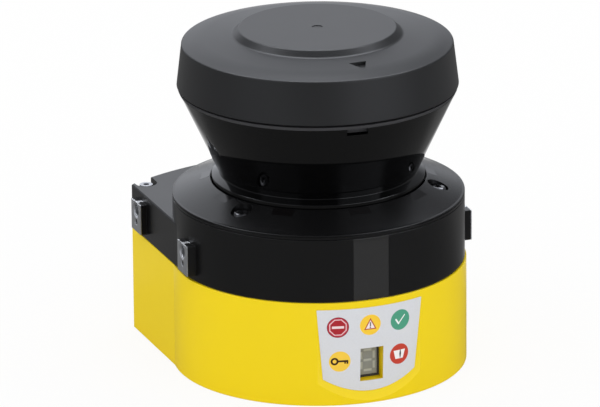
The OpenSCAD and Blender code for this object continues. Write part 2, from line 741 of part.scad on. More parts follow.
module optics_cover() color([0.05, 0.05, 0.06])
difference() {
    rotate_extrude() polygon([
        [collar[1] - 0.5, flange_z], [collar[1] - 0.5, flange_z + flange_t], [lip_r - 0.6, flange_z + flange_t],
        [lip_r - 0.6, lip_z + 1.4], [lip_r - 0.8, lip_z + 1.8], [lip_r - 1.3, lip_z + 2.1],
        [cone_foot_r + 1.4, cone_foot_z - 3], [cone_foot_r + 0.7, cone_foot_z - 1.8],
        [cone_foot_r + 0.3, cone_foot_z - 0.7], [cone_foot_r + 0.2, cone_foot_z + 0.4],
        [cone_r(cone_top_z), cone_top_z],
        [cone_r(cone_top_z) - cone_t, cone_top_z], [cone_foot_r - cone_t, cone_foot_z], [cone_foot_r - cone_t, flange_z]]);
    rotate([0, 0, cover_notch[2]]) translate([-cover_notch[0] / 2, -far, cone_top_z - cover_notch[1]])
        cube([cover_notch[0], far, 20]);
}

// ---------------------------------------------------------------- head column and motor

plate_z = cap_low_z - 3.3;             // underside of the motor plate
plate_t = 3;
plate_r = cone_r(plate_z) - 8.1;
column = [38, 44, 28];                 // inner radius, outer radius and half angle of the rear column
column_z = chassis_z + chassis_t;
can_r = 19.5;
can_top = plate_z + plate_t + 19;
hub_low = scan_z + carrier_r - 6;
disc_z = plate_z - 3.4;                // encoder disc
bearing_z = [plate_z + 0.8, can_top - 1.4 - bearing_w];

module column_screws() for (a = [180 - 18, 180 + 18]) rotate([0, 0, a]) translate([0, -41, 0]) children();

module head_column() color([0.16, 0.16, 0.17])
difference() {
    union() {
        intersection() {
            translate([0, 0, column_z]) tube(plate_z - column_z, column[1], column[0]);
            rotate([0, 0, 180]) linear_extrude(far) polygon([
                [0, 0], far * [-sin(column[2]), -cos(column[2])], far * [sin(column[2]), -cos(column[2])]]);
        }
        // stiffening rib up the inside of the column
        translate([-1.5, 32, column_z + 40]) cube([3, 7, plate_z - column_z - 40]);
    }
    column_screws() {
        translate([0, 0, column_z - 1]) cylinder(9, r = m3[0] + thread_fit);
        translate([0, 0, plate_z - 8]) cylinder(9, r = m3[0] + thread_fit);
    }
}

module head_column_screws() color("silver") column_screws() {
    translate([0, 0, chassis_z]) rotate([180, 0, 0]) screw(m3, 9.5, true);
    translate([0, 0, plate_z + plate_t]) screw(m3, 9.5, true);
}

module motor_plate() color([0.6, 0.6, 0.62])
difference() {
    union() {
        translate([0, 0, plate_z]) cylinder(plate_t, r = plate_r);
        translate([0, 0, plate_z]) cylinder(plate_t + 3.2, r = bearing_r + 3);
    }
    translate([0, 0, plate_z - 1]) cylinder(20, r = race[0] + 0.6);
    translate([0, 0, bearing_z[0]]) cylinder(20, r = bearing_r + 0.02);
    column_screws() translate([0, 0, plate_z - 1]) cylinder(6, r = m3[0] + 0.3);
    around(cap_post_deg, cap_post_r) translate([0, 0, plate_z - 1]) cylinder(6, r = m3[0] + 0.3);
    around(can_screw_deg, can_r + 4) translate([0, 0, plate_z - 1]) cylinder(6, r = m3[0] + thread_fit);
}

can_screw_deg = [0, 120, 240];

module motor_can() color([0.7, 0.7, 0.72])
difference() {
    union() {
        translate([0, 0, plate_z + plate_t]) cylinder(can_top - 4 - plate_z - plate_t, r = can_r);
        translate([0, 0, can_top - 5]) cylinder(5, r = bearing_r + 3);
        around(can_screw_deg, can_r + 4) translate([0, 0, plate_z + plate_t]) cylinder(2, r = 4);
        translate([0, 0, plate_z + plate_t]) cylinder(2, r = can_r + 2.5);
    }
    translate([0, 0, plate_z]) cylinder(can_top - 7 - plate_z, r = can_r - 1.8);
    translate([0, 0, plate_z]) cylinder(bearing_z[1] + bearing_w - plate_z, r = bearing_r + 0.02);
    translate([0, 0, plate_z]) cylinder(can_top - 0.9 - plate_z, r = race[0] + 0.6);
    around(can_screw_deg, can_r + 4) translate([0, 0, plate_z]) cylinder(20, r = m3[0] + 0.3);
}

module motor_can_screws() color("silver")
around(can_screw_deg, can_r + 4) translate([0, 0, plate_z + plate_t + 2]) screw(m3, 4.6, true);

stator_z = plate_z + plate_t + 4.4;
stator_h = 5;
teeth = 9;
module motor_stator() color([0.45, 0.45, 0.47])
translate([0, 0, stator_z]) {
    tube(stator_h, can_r - 1.85, can_r - 3.6);
    difference() {
        for (i = [0 : teeth - 1]) rotate([0, 0, i * 360 / teeth])
            translate([-1, 8, 0]) cube([2, can_r - 11, stator_h]);
        translate([0, 0, -1]) cylinder(20, r = 8.6);
    }
}

module stator_coils() color([0.72, 0.4, 0.2])
translate([0, 0, stator_z - 1]) for (i = [0 : teeth - 1]) rotate([0, 0, i * 360 / teeth])
    difference() {
        translate([-2.2, 10, 0]) cube([4.4, 5, stator_h + 2]);
        translate([-1, 9, 1]) cube([2, 8, stator_h]);
    }

ball_r = 0.62;
race = [shaft_r + 1.35, bearing_r - 1.3];  // outside of the inner ring, inside of the outer ring
module bearing_outer_rings() color("silver")
for (z = bearing_z) translate([0, 0, z]) tube(bearing_w, bearing_r, race[1]);

module bearing_balls() color("white")
for (z = bearing_z) translate([0, 0, z + bearing_w / 2]) for (i = [0 : 7])
    rotate([0, 0, 45 * i]) translate([(race[0] + race[1]) / 2, 0, 0]) sphere(ball_r - 0.05);

module bearing_inner_rings() color("silver")
for (z = bearing_z) translate([0, 0, z]) tube(bearing_w, race[0], shaft_r + shaft_fit);

module motor_magnet() color([0.3, 0.3, 0.32])
translate([0, 0, stator_z - 0.5]) tube(stator_h + 1, 8.1, shaft_r + shaft_fit);

module motor_shaft() color("silver")
translate([0, 0, hub_low]) cylinder(can_top - 1.6 - hub_low, r = shaft_r);

module encoder_disc() color([0.8, 0.8, 0.82, 0.7])
translate([0, 0, disc_z]) difference() {
    tube(0.8, 20, shaft_r + shaft_fit);
    for (i = [0 : 35]) rotate([0, 0, 10 * i]) translate([-0.6, 16.8, -1]) cube([1.2, 2.2, 3]);
}

// Forked light barrier that reads the disc.
module encoder_sensor() color([0.1, 0.1, 0.1])
rotate([0, 0, 200]) difference() {
    translate([-4, -25, disc_z - 1.9]) cube([8, 8, plate_z - disc_z + 1.9]);
    translate([-5, -21, disc_z - 0.7]) cube([10, 8, 2.2]);
}

// ---------------------------------------------------------------- turning mirror

module behind_mirror(gap) {
    translate([0, 0, scan_z + gap * sqrt(2)]) rotate([-45, 0, 0]) translate([-far / 2, -far / 2, 0]) cube([far, far, far]);
}

module mirror_carrier() color([0.2, 0.2, 0.21])
difference() {
    union() {
        difference() {
            intersection() {
                translate([0, 0, scan_z - far / 4]) cylinder(far / 4 + carrier_r + 1, r = carrier_r);
                behind_mirror(mirror_t);
            }
            intersection() {
                translate([0, 0, scan_z - far / 4]) cylinder(far / 4 + carrier_r - 1, r = carrier_r - 3);
                behind_mirror(mirror_t + 3);
            }
        }
        translate([0, 0, hub_low]) cylinder(disc_z - hub_low, r = 7);
    }
    translate([0, 0, hub_low - 1]) cylinder(far, r = shaft_r + shaft_fit);
}

module scan_mirror() color([0.9, 0.9, 0.95])
difference() {
    intersection() {
        translate([0, 0, scan_z - far / 4]) cylinder(far / 4 + carrier_r + 1, r = carrier_r - 1);
        behind_mirror(0);
    }
    behind_mirror(mirror_t);
}

// ---------------------------------------------------------------- head ring and cap

head_ring_top = cap_low_z - 1;
head_ring_in = plate_r - 4;

// Ring on the top edge of the optics cover, with a spigot inside it.
module head_ring() color([0.08, 0.08, 0.09])
rotate_extrude() polygon([
    [head_ring_in, plate_z - 2.4], [cone_r(plate_z - 2.4) - cone_t - fit, plate_z - 2.4],
    [cone_r(cone_top_z) - cone_t - fit, cone_top_z], [cone_r(cone_top_z), cone_top_z],
    [cone_r(head_ring_top - 0.4), head_ring_top - 0.4], [cone_r(head_ring_top) - 0.5, head_ring_top],
    [plate_r + fit, head_ring_top], [plate_r + fit, plate_z], [head_ring_in, plate_z]]);

cap_r = cone_r(cap_low_z);
cap_top_r = cap_r - 2.6;               // radius at the shoulder, after the draft of the side
cap_post_deg = [45, 165, 285];
cap_post_r = 49;

// Outside of the cap: raised disc, step, gentle annulus, chamfered shoulder and drafted side.
function cap_outside() = [
    [0, cap_z], [cap_disc_r - 0.5, cap_z], [cap_disc_r + 0.1, cap_z - 0.3], [cap_disc_r + 0.6, cap_z - 0.8],
    [cap_disc_r + 3.6, cap_z - 3], [cap_disc_r + 4.6, cap_z - 3.35],
    [cap_top_r - 8.1, cap_z - 5.25], [cap_top_r - 7.3, cap_z - 5.5], [cap_top_r - 1, cap_z - 7.2],
    [cap_top_r - 0.3, cap_z - 7.6], [cap_top_r, cap_z - 8.3],
    [cap_r - 0.05, cap_low_z + 0.5], [cap_r - 0.4, cap_low_z]];

module head_cap() color([0.22, 0.22, 0.23])
difference() {
    union() {
        rotate_extrude() polygon(concat(cap_outside(), [
            [cap_r - cap_t - 0.4, cap_low_z], [cap_top_r - cap_t, cap_z - 9.2], [cap_top_r - 8, cap_z - 5.4 - cap_t],
            [cap_disc_r + 4, cap_z - 3.4 - cap_t], [cap_disc_r, cap_z - 1 - cap_t], [0, cap_z - 1 - cap_t]]));
        around(cap_post_deg, cap_post_r)
            translate([0, 0, plate_z + plate_t]) cylinder(cap_z - 5.2 - plate_z - plate_t, r = 4);
        // skirt ring that centres the cap on the motor plate
        translate([0, 0, cap_low_z - 0.3]) tube(4, cap_r - 2, plate_r - 0.6);
    }
    around(cap_post_deg, cap_post_r) translate([0, 0, plate_z]) cylinder(14, r = m3[0] + thread_fit);
    translate([0, 0, cap_low_z - 3]) cylinder(3.4 + 0.02, r = plate_r + fit);
    // arrow that marks the middle of the scan field
    rotate([0, 0, 2.3]) translate([0, 0, cap_z - 5.9]) linear_extrude(4)
        polygon([[-4.6, -cap_disc_r - 10.9], [4.6, -cap_disc_r - 10.9], [0, -cap_disc_r - 20.5]]);
    // gate mark in the middle of the disc
    translate([0, 0, cap_z - 0.3]) cylinder(2, r = 2.7);
}

module head_cap_screws() color("silver")
around(cap_post_deg, cap_post_r) translate([0, 0, plate_z]) rotate([180, 0, 0]) screw(m3, plate_t + 9, true);

// ---------------------------------------------------------------- rear plug

contact_w = 34;
contact_z = [main_board_z + pcb_t, main_board_z + pcb_t + 10];
cable_x = 16;
cable_z = 27;
cable_r = 10;                          // M20 entries
cable_deep = 6.5;                      // depth of the round pockets round the entries

module system_plug() color([0.12, 0.12, 0.13])
difference() {
    union() {
        translate([-bay[0] + fit, rear_y - bay[1] + 0.5, bay[2][0] + fit])
            cube([2 * (bay[0] - fit), bay[1] - 0.5 - plug_flange[1] + eps, bay[2][1] - bay[2][0] - 2 * fit]);
        translate([-plug_flange[0], rear_y - plug_flange[1] + seal_h, plug_flange[2][0]])
            cube([2 * plug_flange[0], plug_flange[1] - seal_h, plug_flange[2][1] - plug_flange[2][0]]);
    }
    difference() {
        translate([-bay[0] + 2.5, rear_y - bay[1] + 2.5, bay[2][0] + 2.5])
            cube([2 * (bay[0] - 2.5), bay[1] - 5, bay[2][1] - bay[2][0] - 5]);
        both_sides() translate([cable_x, rear_y + 1, cable_z]) rotate([90, 0, 0]) cylinder(cable_deep + 4.5, r = 14.6);
    }
    both_sides() translate([cable_x, rear_y + 1, cable_z]) rotate([90, 0, 0]) {
        cylinder(cable_deep + 1, r = 13.6);
        cylinder(20, r = cable_r);
    }
    both_sides() for (z = plug_screw[1]) translate([plug_screw[0], rear_y + 1, z]) rotate([90, 0, 0]) {
        cylinder(12, r = m3[0] + 0.2);
        cylinder(2.2, r = m3[1] + 0.3);
    }
    translate([-contact_w / 2, rear_y - bay[1] - 1, contact_z[0]])
        cube([contact_w, 6, contact_z[1] - contact_z[0]]);
}

seal_h = 0.8;
module plug_seal() color([0.15, 0.15, 0.15])
difference() {
    translate([-plug_flange[0] + 0.4, rear_y - plug_flange[1], plug_flange[2][0] + 0.4])
        cube([2 * plug_flange[0] - 0.8, seal_h, plug_flange[2][1] - plug_flange[2][0] - 0.8]);
    translate([-bay[0], rear_y - plug_flange[1] - 1, bay[2][0]])
        cube([2 * bay[0], 3, bay[2][1] - bay[2][0]]);
    both_sides() for (z = plug_screw[1]) translate([plug_screw[0], rear_y, z]) rotate([90, 0, 0]) cylinder(8, r = m3[0] + 0.3);
}

module plug_screws() color("silver")
both_sides() for (z = plug_screw[1])
    translate([plug_screw[0], rear_y - 1.2, z]) rotate([-90, 0, 0]) screw([m3[0], m3[1], 1.2, m3[3]], 10);

// Contact strip from the main board into the rear plug.
module plug_contacts() color("goldenrod")
translate([-contact_w / 2 + 0.1, 54 - 8, contact_z[0]])
    cube([contact_w - 0.2, rear_y - bay[1] + 3 - 46, contact_z[1] - contact_z[0] - 0.2]);

module blanking_plugs() color([0.14, 0.14, 0.15])
both_sides() translate([cable_x, rear_y - cable_deep + 1, cable_z]) rotate([-90, 0, 0]) difference() {
    union() {
        cylinder(4.5, r = 12.2, $fn = 6);
        translate([0, 0, -9]) cylinder(9 + eps, r = cable_r - thread_fit);
    }
    translate([0, 0, -10]) cylinder(8, r = cable_r - 2);
    translate([-7, -0.9, 3]) cube([14, 1.8, 4]);
}

module blanking_seals() color([0.2, 0.2, 0.2])
both_sides() translate([cable_x, rear_y - cable_deep, cable_z]) rotate([-90, 0, 0]) tube(1, 12, cable_r + thread_fit);

module service_socket() color("silver")
translate([box_half - service_deep, service[0], service[1]]) rotate([0, -90, 0]) {
    translate([0, 0, 0.1]) tube(9, 5.9, 3.2);
    translate([0, 0, 5]) cylinder(3.9, r = 3.21);
}

// Screw cap with a coin slot and a grooved rim.
module service_cap() color([0.1, 0.1, 0.1])
translate([box_half - service_deep, service[0], service[1]]) rotate([0, 90, 0]) difference() {
    union() {
        cylinder(service_deep - 0.6, r = service[2] - 0.5);
        translate([0, 0, -4]) cylinder(4 + eps, r = 3.1);
    }
    translate([-5, -0.8, service_deep - 2.2]) cube([10, 1.6, 4]);
    for (i = [0 : 17]) rotate([0, 0, 20 * i]) translate([service[2] - 0.5, 0, 0.8]) cylinder(10, r = 0.5, $fn = 16);
}

base_housing();
upper_housing();
housing_seal();
front_housing_screws();
rear_housing_screws();
panel_foil();
digit_display();
digit_plate();
panel_lamps();
display_board();
display_board_screws();
main_board();
main_board_parts();
main_board_screws();
board_link();
head_board();
head_board_parts();
head_board_screws();
optics_chassis();
lens_holder();
receiver_lens();
receiver_board();
photodiode();
folding_mirror();
laser_module();
laser_clamp();
ring_cover();
ring_cover_screws();
ring_windows();
optics_seal();
optics_cover();
head_column();
head_column_screws();
head_ring();
head_cap();
head_cap_screws();
motor_plate();
motor_can();
motor_can_screws();
motor_stator();
stator_coils();
bearing_outer_rings();
bearing_balls();
bearing_inner_rings();
motor_magnet();
motor_shaft();
encoder_disc();
encoder_sensor();
mirror_carrier();
scan_mirror();
system_plug();
plug_seal();
plug_screws();
plug_contacts();
blanking_plugs();
blanking_seals();
service_socket();
service_cap();
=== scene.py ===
import json
import math

import bmesh
import bpy
from bpy.props import FloatProperty, FloatVectorProperty, PointerProperty
from mathutils import Matrix, Vector

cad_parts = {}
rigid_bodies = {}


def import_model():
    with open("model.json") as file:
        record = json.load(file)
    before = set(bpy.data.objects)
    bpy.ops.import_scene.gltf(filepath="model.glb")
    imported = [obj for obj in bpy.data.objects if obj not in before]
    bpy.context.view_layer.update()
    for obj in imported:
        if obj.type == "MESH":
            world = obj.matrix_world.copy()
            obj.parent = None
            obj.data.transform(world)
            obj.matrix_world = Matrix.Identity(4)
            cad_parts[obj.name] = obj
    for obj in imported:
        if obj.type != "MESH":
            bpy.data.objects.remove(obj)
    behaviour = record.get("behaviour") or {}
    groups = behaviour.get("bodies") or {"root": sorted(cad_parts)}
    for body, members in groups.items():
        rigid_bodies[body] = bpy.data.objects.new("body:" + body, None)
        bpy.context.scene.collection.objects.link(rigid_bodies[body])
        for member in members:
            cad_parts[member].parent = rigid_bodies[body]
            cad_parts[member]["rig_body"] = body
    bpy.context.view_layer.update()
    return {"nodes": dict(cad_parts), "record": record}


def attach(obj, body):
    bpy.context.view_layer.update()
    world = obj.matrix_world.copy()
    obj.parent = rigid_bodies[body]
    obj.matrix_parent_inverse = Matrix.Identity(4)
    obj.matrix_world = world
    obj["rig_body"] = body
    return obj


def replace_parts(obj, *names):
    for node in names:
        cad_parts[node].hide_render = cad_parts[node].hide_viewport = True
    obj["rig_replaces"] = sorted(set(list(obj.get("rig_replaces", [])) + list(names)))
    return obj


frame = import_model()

MM = 0.001

bl_info = {
    "name": "Safety laser scanner",
    "version": (1, 0, 0),
    "blender": (4, 5, 0),
    "location": "View3D > Sidebar > Scanner",
    "description": "Builds the looks of a safety laser scanner round its packed CAD frame",
    "category": "Object",
}


# ---------------------------------------------------------------- shader expressions

class Value:
    """A number that varies over a surface. Arithmetic on it adds Math nodes."""

    def __init__(self, shader, socket):
        self.shader = shader
        self.socket = socket

    def _math(self, operation, *others):
        return self.shader.math(operation, self, *others)

    def __add__(self, other):
        return self._math("ADD", other)

    __radd__ = __add__

    def __sub__(self, other):
        return self._math("SUBTRACT", other)

    def __rsub__(self, other):
        return self.shader.math("SUBTRACT", other, self)

    def __mul__(self, other):
        return self._math("MULTIPLY", other)

    __rmul__ = __mul__

    def __truediv__(self, other):
        return self._math("DIVIDE", other)

    def __rtruediv__(self, other):
        return self.shader.math("DIVIDE", other, self)

    def __neg__(self):
        return self._math("MULTIPLY", -1.0)

    def __abs__(self):
        return self._math("ABSOLUTE")

    def __lt__(self, other):
        return self._math("LESS_THAN", other)

    def __gt__(self, other):
        return self._math("GREATER_THAN", other)

    def at_least(self, other):
        return self._math("MAXIMUM", other)

    def at_most(self, other):
        return self._math("MINIMUM", other)

    def root(self):
        return self._math("SQRT")

    def ramp(self, low, high):
        """0 below the first value, 1 above the second, a straight line between."""
        return self.shader.math("MULTIPLY", self - low, 1.0 / (high - low), clamp=True)

    def within(self, blur):
        """1 where this distance is negative, 0 where it is positive, with a soft edge."""
        return self.shader.math("SUBTRACT", 0.5, self / blur, clamp=True)


class Shader:
    """Builds one node tree, from expressions and single nodes."""

    def __init__(self, tree):
        self.tree = tree
        tree.nodes.clear()

    def node(self, kind, settings=None, **inputs):
        """Adds a node: its settings first, then the values or links of its sockets (spaces as _)."""
        made = self.tree.nodes.new(kind)
        for name, value in (settings or {}).items():
            setattr(made, name, value)
        for name, value in inputs.items():
            self._feed(made.inputs[name.replace("_", " ")], value)
        return made

    def _feed(self, socket, value):
        if isinstance(value, Value):
            value = value.socket
        if isinstance(value, bpy.types.NodeSocket):
            self.tree.links.new(value, socket)
        elif socket.type == "RGBA" and len(value) == 3:
            socket.default_value = (*value, 1.0)
        else:
            socket.default_value = value

    def math(self, operation, *values, clamp=False):
        made = self.node("ShaderNodeMath", {"operation": operation, "use_clamp": clamp})
        for socket, value in zip(made.inputs, values):
            self._feed(socket, value)
        return Value(self, made.outputs[0])

    def mix(self, factor, first, second):
        """A colour between two colours."""
        made = self.node("ShaderNodeMix", {"data_type": "RGBA"})
        self._feed(made.inputs[0], factor)
        self._feed(made.inputs[6], first)
        self._feed(made.inputs[7], second)
        return made.outputs[2]

    def place(self):
        """Object coordinates as three values and a vector, in metres."""
        coordinates = self.node("ShaderNodeTexCoord").outputs["Object"]
        split = self.node("ShaderNodeSeparateXYZ", Vector=coordinates)
        return [Value(self, split.outputs[i]) for i in range(3)] + [coordinates]

    def noise(self, vector, scale, detail, roughness=0.5):
        made = self.node(
            "ShaderNodeTexNoise", Vector=vector, Scale=scale, Detail=detail, Roughness=roughness)
        return Value(self, made.outputs["Fac"])

    def bump(self, height, strength, distance, edge=0.0):
        """Bump from a height, over edges that look broken by a small radius where one is given."""
        made = self.node("ShaderNodeBump", Height=height, Strength=strength, Distance=distance)
        if edge:
            rounding = self.node("ShaderNodeBevel", {"samples": 6}, Radius=edge)
            self._feed(made.inputs["Normal"], rounding.outputs[0])
        return made.outputs[0]

    def stretched(self, vector, share):
        """The same coordinates with their height drawn out."""
        return self.node("ShaderNodeMapping", Vector=vector, Scale=(1.0, 1.0, share)).outputs[0]

    def blend(self, factor, first, second):
        """A shader between two shaders."""
        made = self.node("ShaderNodeMixShader", Fac=factor)
        self.tree.links.new(first.outputs[0], made.inputs[1])
        self.tree.links.new(second.outputs[0], made.inputs[2])
        return made

    def surface(self, shader):
        """Ends the tree with this shader."""
        output = self.node("ShaderNodeOutputMaterial")
        self.tree.links.new(shader.outputs[0], output.inputs[0])

    def finish(self, **inputs):
        """Ends the tree with one Principled shader."""
        self.surface(self.node("ShaderNodeBsdfPrincipled", **inputs))


def new_material(name):
    """An empty material and the builder of its node tree."""
    material = bpy.data.materials.new(name)
    material.use_nodes = True
    return material, Shader(material.node_tree)


def linear(red, green, blue):
    """A screen colour of 0 to 255 as linear light."""
    shares = (red / 255.0, green / 255.0, blue / 255.0)
    return tuple(v / 12.92 if v <= 0.04045 else ((v + 0.055) / 1.055) ** 2.4 for v in shares)


def shaded(colour, share):
    """The same colour, darker or lighter."""
    return tuple(c * share for c in colour)


# ---------------------------------------------------------------- finishes

def yellow_paint(colour, roughness):
    """Smooth yellow paint with a faint orange peel."""
    material, s = new_material("yellow_paint")
    vector = s.place()[3]
    patches = s.noise(vector, 40.0, 3.0)
    peel = s.noise(vector, 900.0, 2.0)
    s.finish(
        Base_Color=s.mix(patches, colour, shaded(colour, 0.97)),
        Roughness=patches * 0.06 + (roughness - 0.03),
        Specular_IOR_Level=0.3,
        Normal=s.bump(peel, 0.08, 0.0001),
    )
    return material


def black_paint(colour, roughness, bosses, edge):
    """Satin black paint, with bare machined metal on the faces and in the holes of the side bosses."""
    material, s = new_material("black_paint")
    x, y, z, vector = s.place()
    out = abs(x)
    face_skin, hole_rim = 0.45 * MM, 1.2 * MM
    flat_half, flat_front = 9.45 * MM, -73.0 * MM
    bare = out > bosses["face"] - face_skin
    for along in bosses["y"]:
        off_y, off_z = y - along, z - bosses["hole_z"]
        in_hole = (off_y * off_y + off_z * off_z).root() < bosses["hole_r"] + hole_rim
        bare = in_hole * (out > bosses["face"] - bosses["hole_length"]) + bare
    bare = bare.at_most(1.0)
    streaks = s.noise(s.stretched(vector, 0.1), 900.0, 3.0)
    grain = s.noise(vector, 1500.0, 2.0)
    patches = s.noise(vector, 60.0, 3.0)
    metal = s.mix(streaks, (0.62, 0.63, 0.65), (0.86, 0.87, 0.88))
    black = s.mix(patches, colour, shaded(colour, 1.2))
    # the flat on the ring's front is a little greyer than the rest
    flat = (out < flat_half) * (y < flat_front)
    black = s.mix(flat, black, tuple(c + 0.02 for c in colour))
    s.finish(
        Base_Color=s.mix(bare, black, metal),
        Metallic=bare,
        Roughness=bare * 0.2 + (patches * 0.04 + (roughness - 0.02)),
        Normal=s.bump(grain * (1.0 - bare) * 0.4 + streaks * bare, 0.12, 0.00003, edge),
    )
    return material


def moulded_black(name, colour, roughness, grain_size, grain_depth):
    """Black plastic with a fine moulded grain."""
    material, s = new_material(name)
    vector = s.place()[3]
    grain = s.noise(vector, 1.0 / grain_size, 2.0)
    patches = s.noise(vector, 35.0, 3.0)
    s.finish(
        Base_Color=s.mix(patches, colour, shaded(colour, 1.15)),
        Roughness=patches * 0.04 + (roughness - 0.02),
        Normal=s.bump(grain, 0.3, grain_depth),
    )
    return material


def polished_dark(name, colour, roughness):
    """Polished dark plastic that infrared light passes, with faint wipe marks."""
    material, s = new_material(name)
    wipes = s.noise(s.place()[3], 25.0, 5.0, 0.6)
    s.finish(
        Base_Color=s.mix(wipes, colour, shaded(colour, 1.3)),
        Roughness=wipes * 0.03 + roughness,
    )
    return material


def plain_metal(name, colour, roughness):
    """Bare metal with fine upright scratches."""
    material, s = new_material(name)
    streaks = s.noise(s.stretched(s.place()[3], 0.15), 900.0, 3.0)
    s.finish(
        Base_Color=s.mix(streaks, shaded(colour, 0.85), colour),
        Metallic=1.0,
        Roughness=streaks * 0.14 + (roughness - 0.07),
        Normal=s.bump(streaks, 0.15, 0.00004),
    )
    return material


def plain_moulding(name, colour, roughness, **extra):
    """Moulded rubber, plastic or glass, slightly uneven."""
    material, s = new_material(name)
    patches = s.noise(s.place()[3], 150.0, 3.0)
    s.finish(
        Base_Color=s.mix(patches, colour, shaded(colour, 0.85)),
        Roughness=patches * 0.1 + (roughness - 0.05),
        Normal=s.bump(patches, 0.1, 0.0001),
        **extra,
    )
    return material


def digit_grey():
    """Grey plate of the digit display, with the unlit bars a little lighter."""
    material, s = new_material("display_glass")
    x, _, z, vector = s.place()
    grain = s.noise(vector, 500.0, 2.0)
    middle, rise, reach = 20.2, 5.3, 3.3
    level, upright = (2.1, 0.6), (0.6, 1.9)
    segments = [(0.0, up, *level) for up in (0.0, rise, -rise)]
    segments += [(across, up, *upright) for up in (rise / 2, -rise / 2) for across in (reach, -reach)]
    u, v = x / MM, z / MM - middle
    bars = 0.0
    for across, up, half_width, half_height in segments:
        bar = (abs(u - across) - half_width).at_least(abs(v - up) - half_height).within(0.25)
        bars = bar.at_least(bars)
    plate = s.mix(grain, linear(150, 154, 152), linear(138, 142, 141))
    s.finish(
        Base_Color=s.mix(bars * 0.85, plate, linear(190, 194, 190)),
        Roughness=grain * 0.08 + 0.42,
    )
    return material


def board_green():
    """Circuit board: green mask with lighter tracks and bright pads."""
    material, s = new_material("circuit_board")
    vector = s.place()[3]
    cells = s.node("ShaderNodeTexVoronoi", {"feature": "DISTANCE_TO_EDGE"}, Vector=vector, Scale=260.0)
    track = (Value(s, cells.outputs[0]) - 0.05).within(0.02)
    s.finish(
        Base_Color=s.mix(track, (0.012, 0.09, 0.035), (0.03, 0.2, 0.08)),
        Roughness=track * -0.1 + 0.45,
        Normal=s.bump(track, 0.2, 0.00005),
    )
    return material


class Print:
    """Flat printing on the curved panel: shapes in millimetres round a centre, as soft masks."""

    edge = 0.12   # softness of the print's edges
    turned = 0.9  # degrees by which the whole print is turned to the left
    icon_r = 5.45
    column, top, low = 12.8, 41.4, 23.0  # degrees to the outer icons, and heights of the two rows

    def __init__(self, shader, x, y, z, radius):
        self.s = shader
        self.across = shader.math("ARCTAN2", x, -y) * radius
        self.up = z / MM
        self.radius = radius

    def at(self, degrees, height):
        """Local coordinates, in millimetres, round an icon's centre."""
        return self.across - math.radians(degrees - self.turned) * self.radius, self.up - height

    def inside(self, distance):
        return distance.within(self.edge)

    def disc(self, u, v, radius):
        return self.inside((u * u + v * v).root() - radius)

    def bar(self, u, v, centre, half):
        """Upright rectangle."""
        across = abs(u - centre[0]) - half[0]
        up = abs(v - centre[1]) - half[1]
        return self.inside(across.at_least(up))

    def outline(self, u, v, sides):
        """Signed distance to a convex shape: each side is (normal angle in degrees, distance)."""
        distance = -self.radius
        for angle, reach in sides:
            a = math.radians(angle)
            distance = (u * math.cos(a) + v * math.sin(a) - reach).at_least(distance)
        return distance

    def stroke(self, u, v, start, end, half):
        """A line with round ends."""
        du, dv = end[0] - start[0], end[1] - start[1]
        share = 1.0 / (du * du + dv * dv)
        along = self.s.math("MULTIPLY", (u - start[0]) * du + (v - start[1]) * dv, share, clamp=True)
        off_u = u - start[0] - along * du
        off_v = v - start[1] - along * dv
        return self.inside((off_u * off_u + off_v * off_v).root() - half)


def stop_icon(s, p, colour):
    """Red round with an octagon and a plain bar."""
    u, v = p.at(-p.column, p.top)
    octagon = p.outline(u, v, [(45 * i, 4.3) for i in range(8)])
    colour = s.mix(p.disc(u, v, 5.5), colour, linear(140, 22, 44))
    colour = s.mix(p.disc(u, v, 5.15), colour, linear(186, 40, 58))
    colour = s.mix(p.inside(octagon), colour, linear(238, 196, 202))
    colour = s.mix(p.inside(octagon + 0.5), colour, linear(176, 22, 38))
    return s.mix(p.bar(u, v, (0.0, 0.0), (3.0, 0.65)), colour, linear(240, 215, 218))


def warning_icon(s, p, colour):
    """Yellow round with a triangle that holds a stroke and a dot."""
    u, v = p.at(0.0, p.top)
    triangle = p.outline(u, v, [(-90, 2.5), (28.0, 1.72), (152.0, 1.72)])
    ink = linear(92, 88, 90)
    colour = s.mix(p.disc(u, v, p.icon_r), colour, linear(252, 206, 48))
    colour = s.mix(p.inside(triangle), colour, linear(186, 78, 52))
    colour = s.mix(p.inside(triangle + 0.55), colour, linear(246, 232, 232))
    colour = s.mix(p.bar(u, v, (0.0, 0.25), (0.3, 1.15)), colour, ink)
    return s.mix(p.disc(u, v + 1.5, 0.36), colour, ink)


def clear_icon(s, p, colour):
    """Green round with a tick."""
    u, v = p.at(p.column, p.top)
    foot = (-0.95, -1.9)
    tick = p.stroke(u, v, (-2.45, 0.45), foot, 0.42) + p.stroke(u, v, foot, (2.45, 2.2), 0.3)
    colour = s.mix(p.disc(u, v, p.icon_r), colour, linear(74, 160, 130))
    return s.mix(tick.at_most(1.0), colour, linear(240, 246, 243))


def key_icon(s, p, colour):
    """Yellow round with a key."""
    u, v = p.at(-12.1, p.low)
    bow_u, bow_v = u + 2.6, v - 0.1
    bow = p.disc(bow_u, bow_v, 2.0) * (1.0 - p.disc(bow_u, bow_v, 1.0))
    blade = p.bar(u, v, (1.8, 0.1), (2.5, 0.5))
    teeth = p.bar(u, v, (2.7, -0.7), (0.42, 0.6)) + p.bar(u, v, (3.85, -0.7), (0.45, 0.75))
    colour = s.mix(p.disc(u, v, p.icon_r), colour, linear(250, 206, 62))
    return s.mix((bow + blade + teeth).at_most(1.0), colour, linear(58, 30, 18))


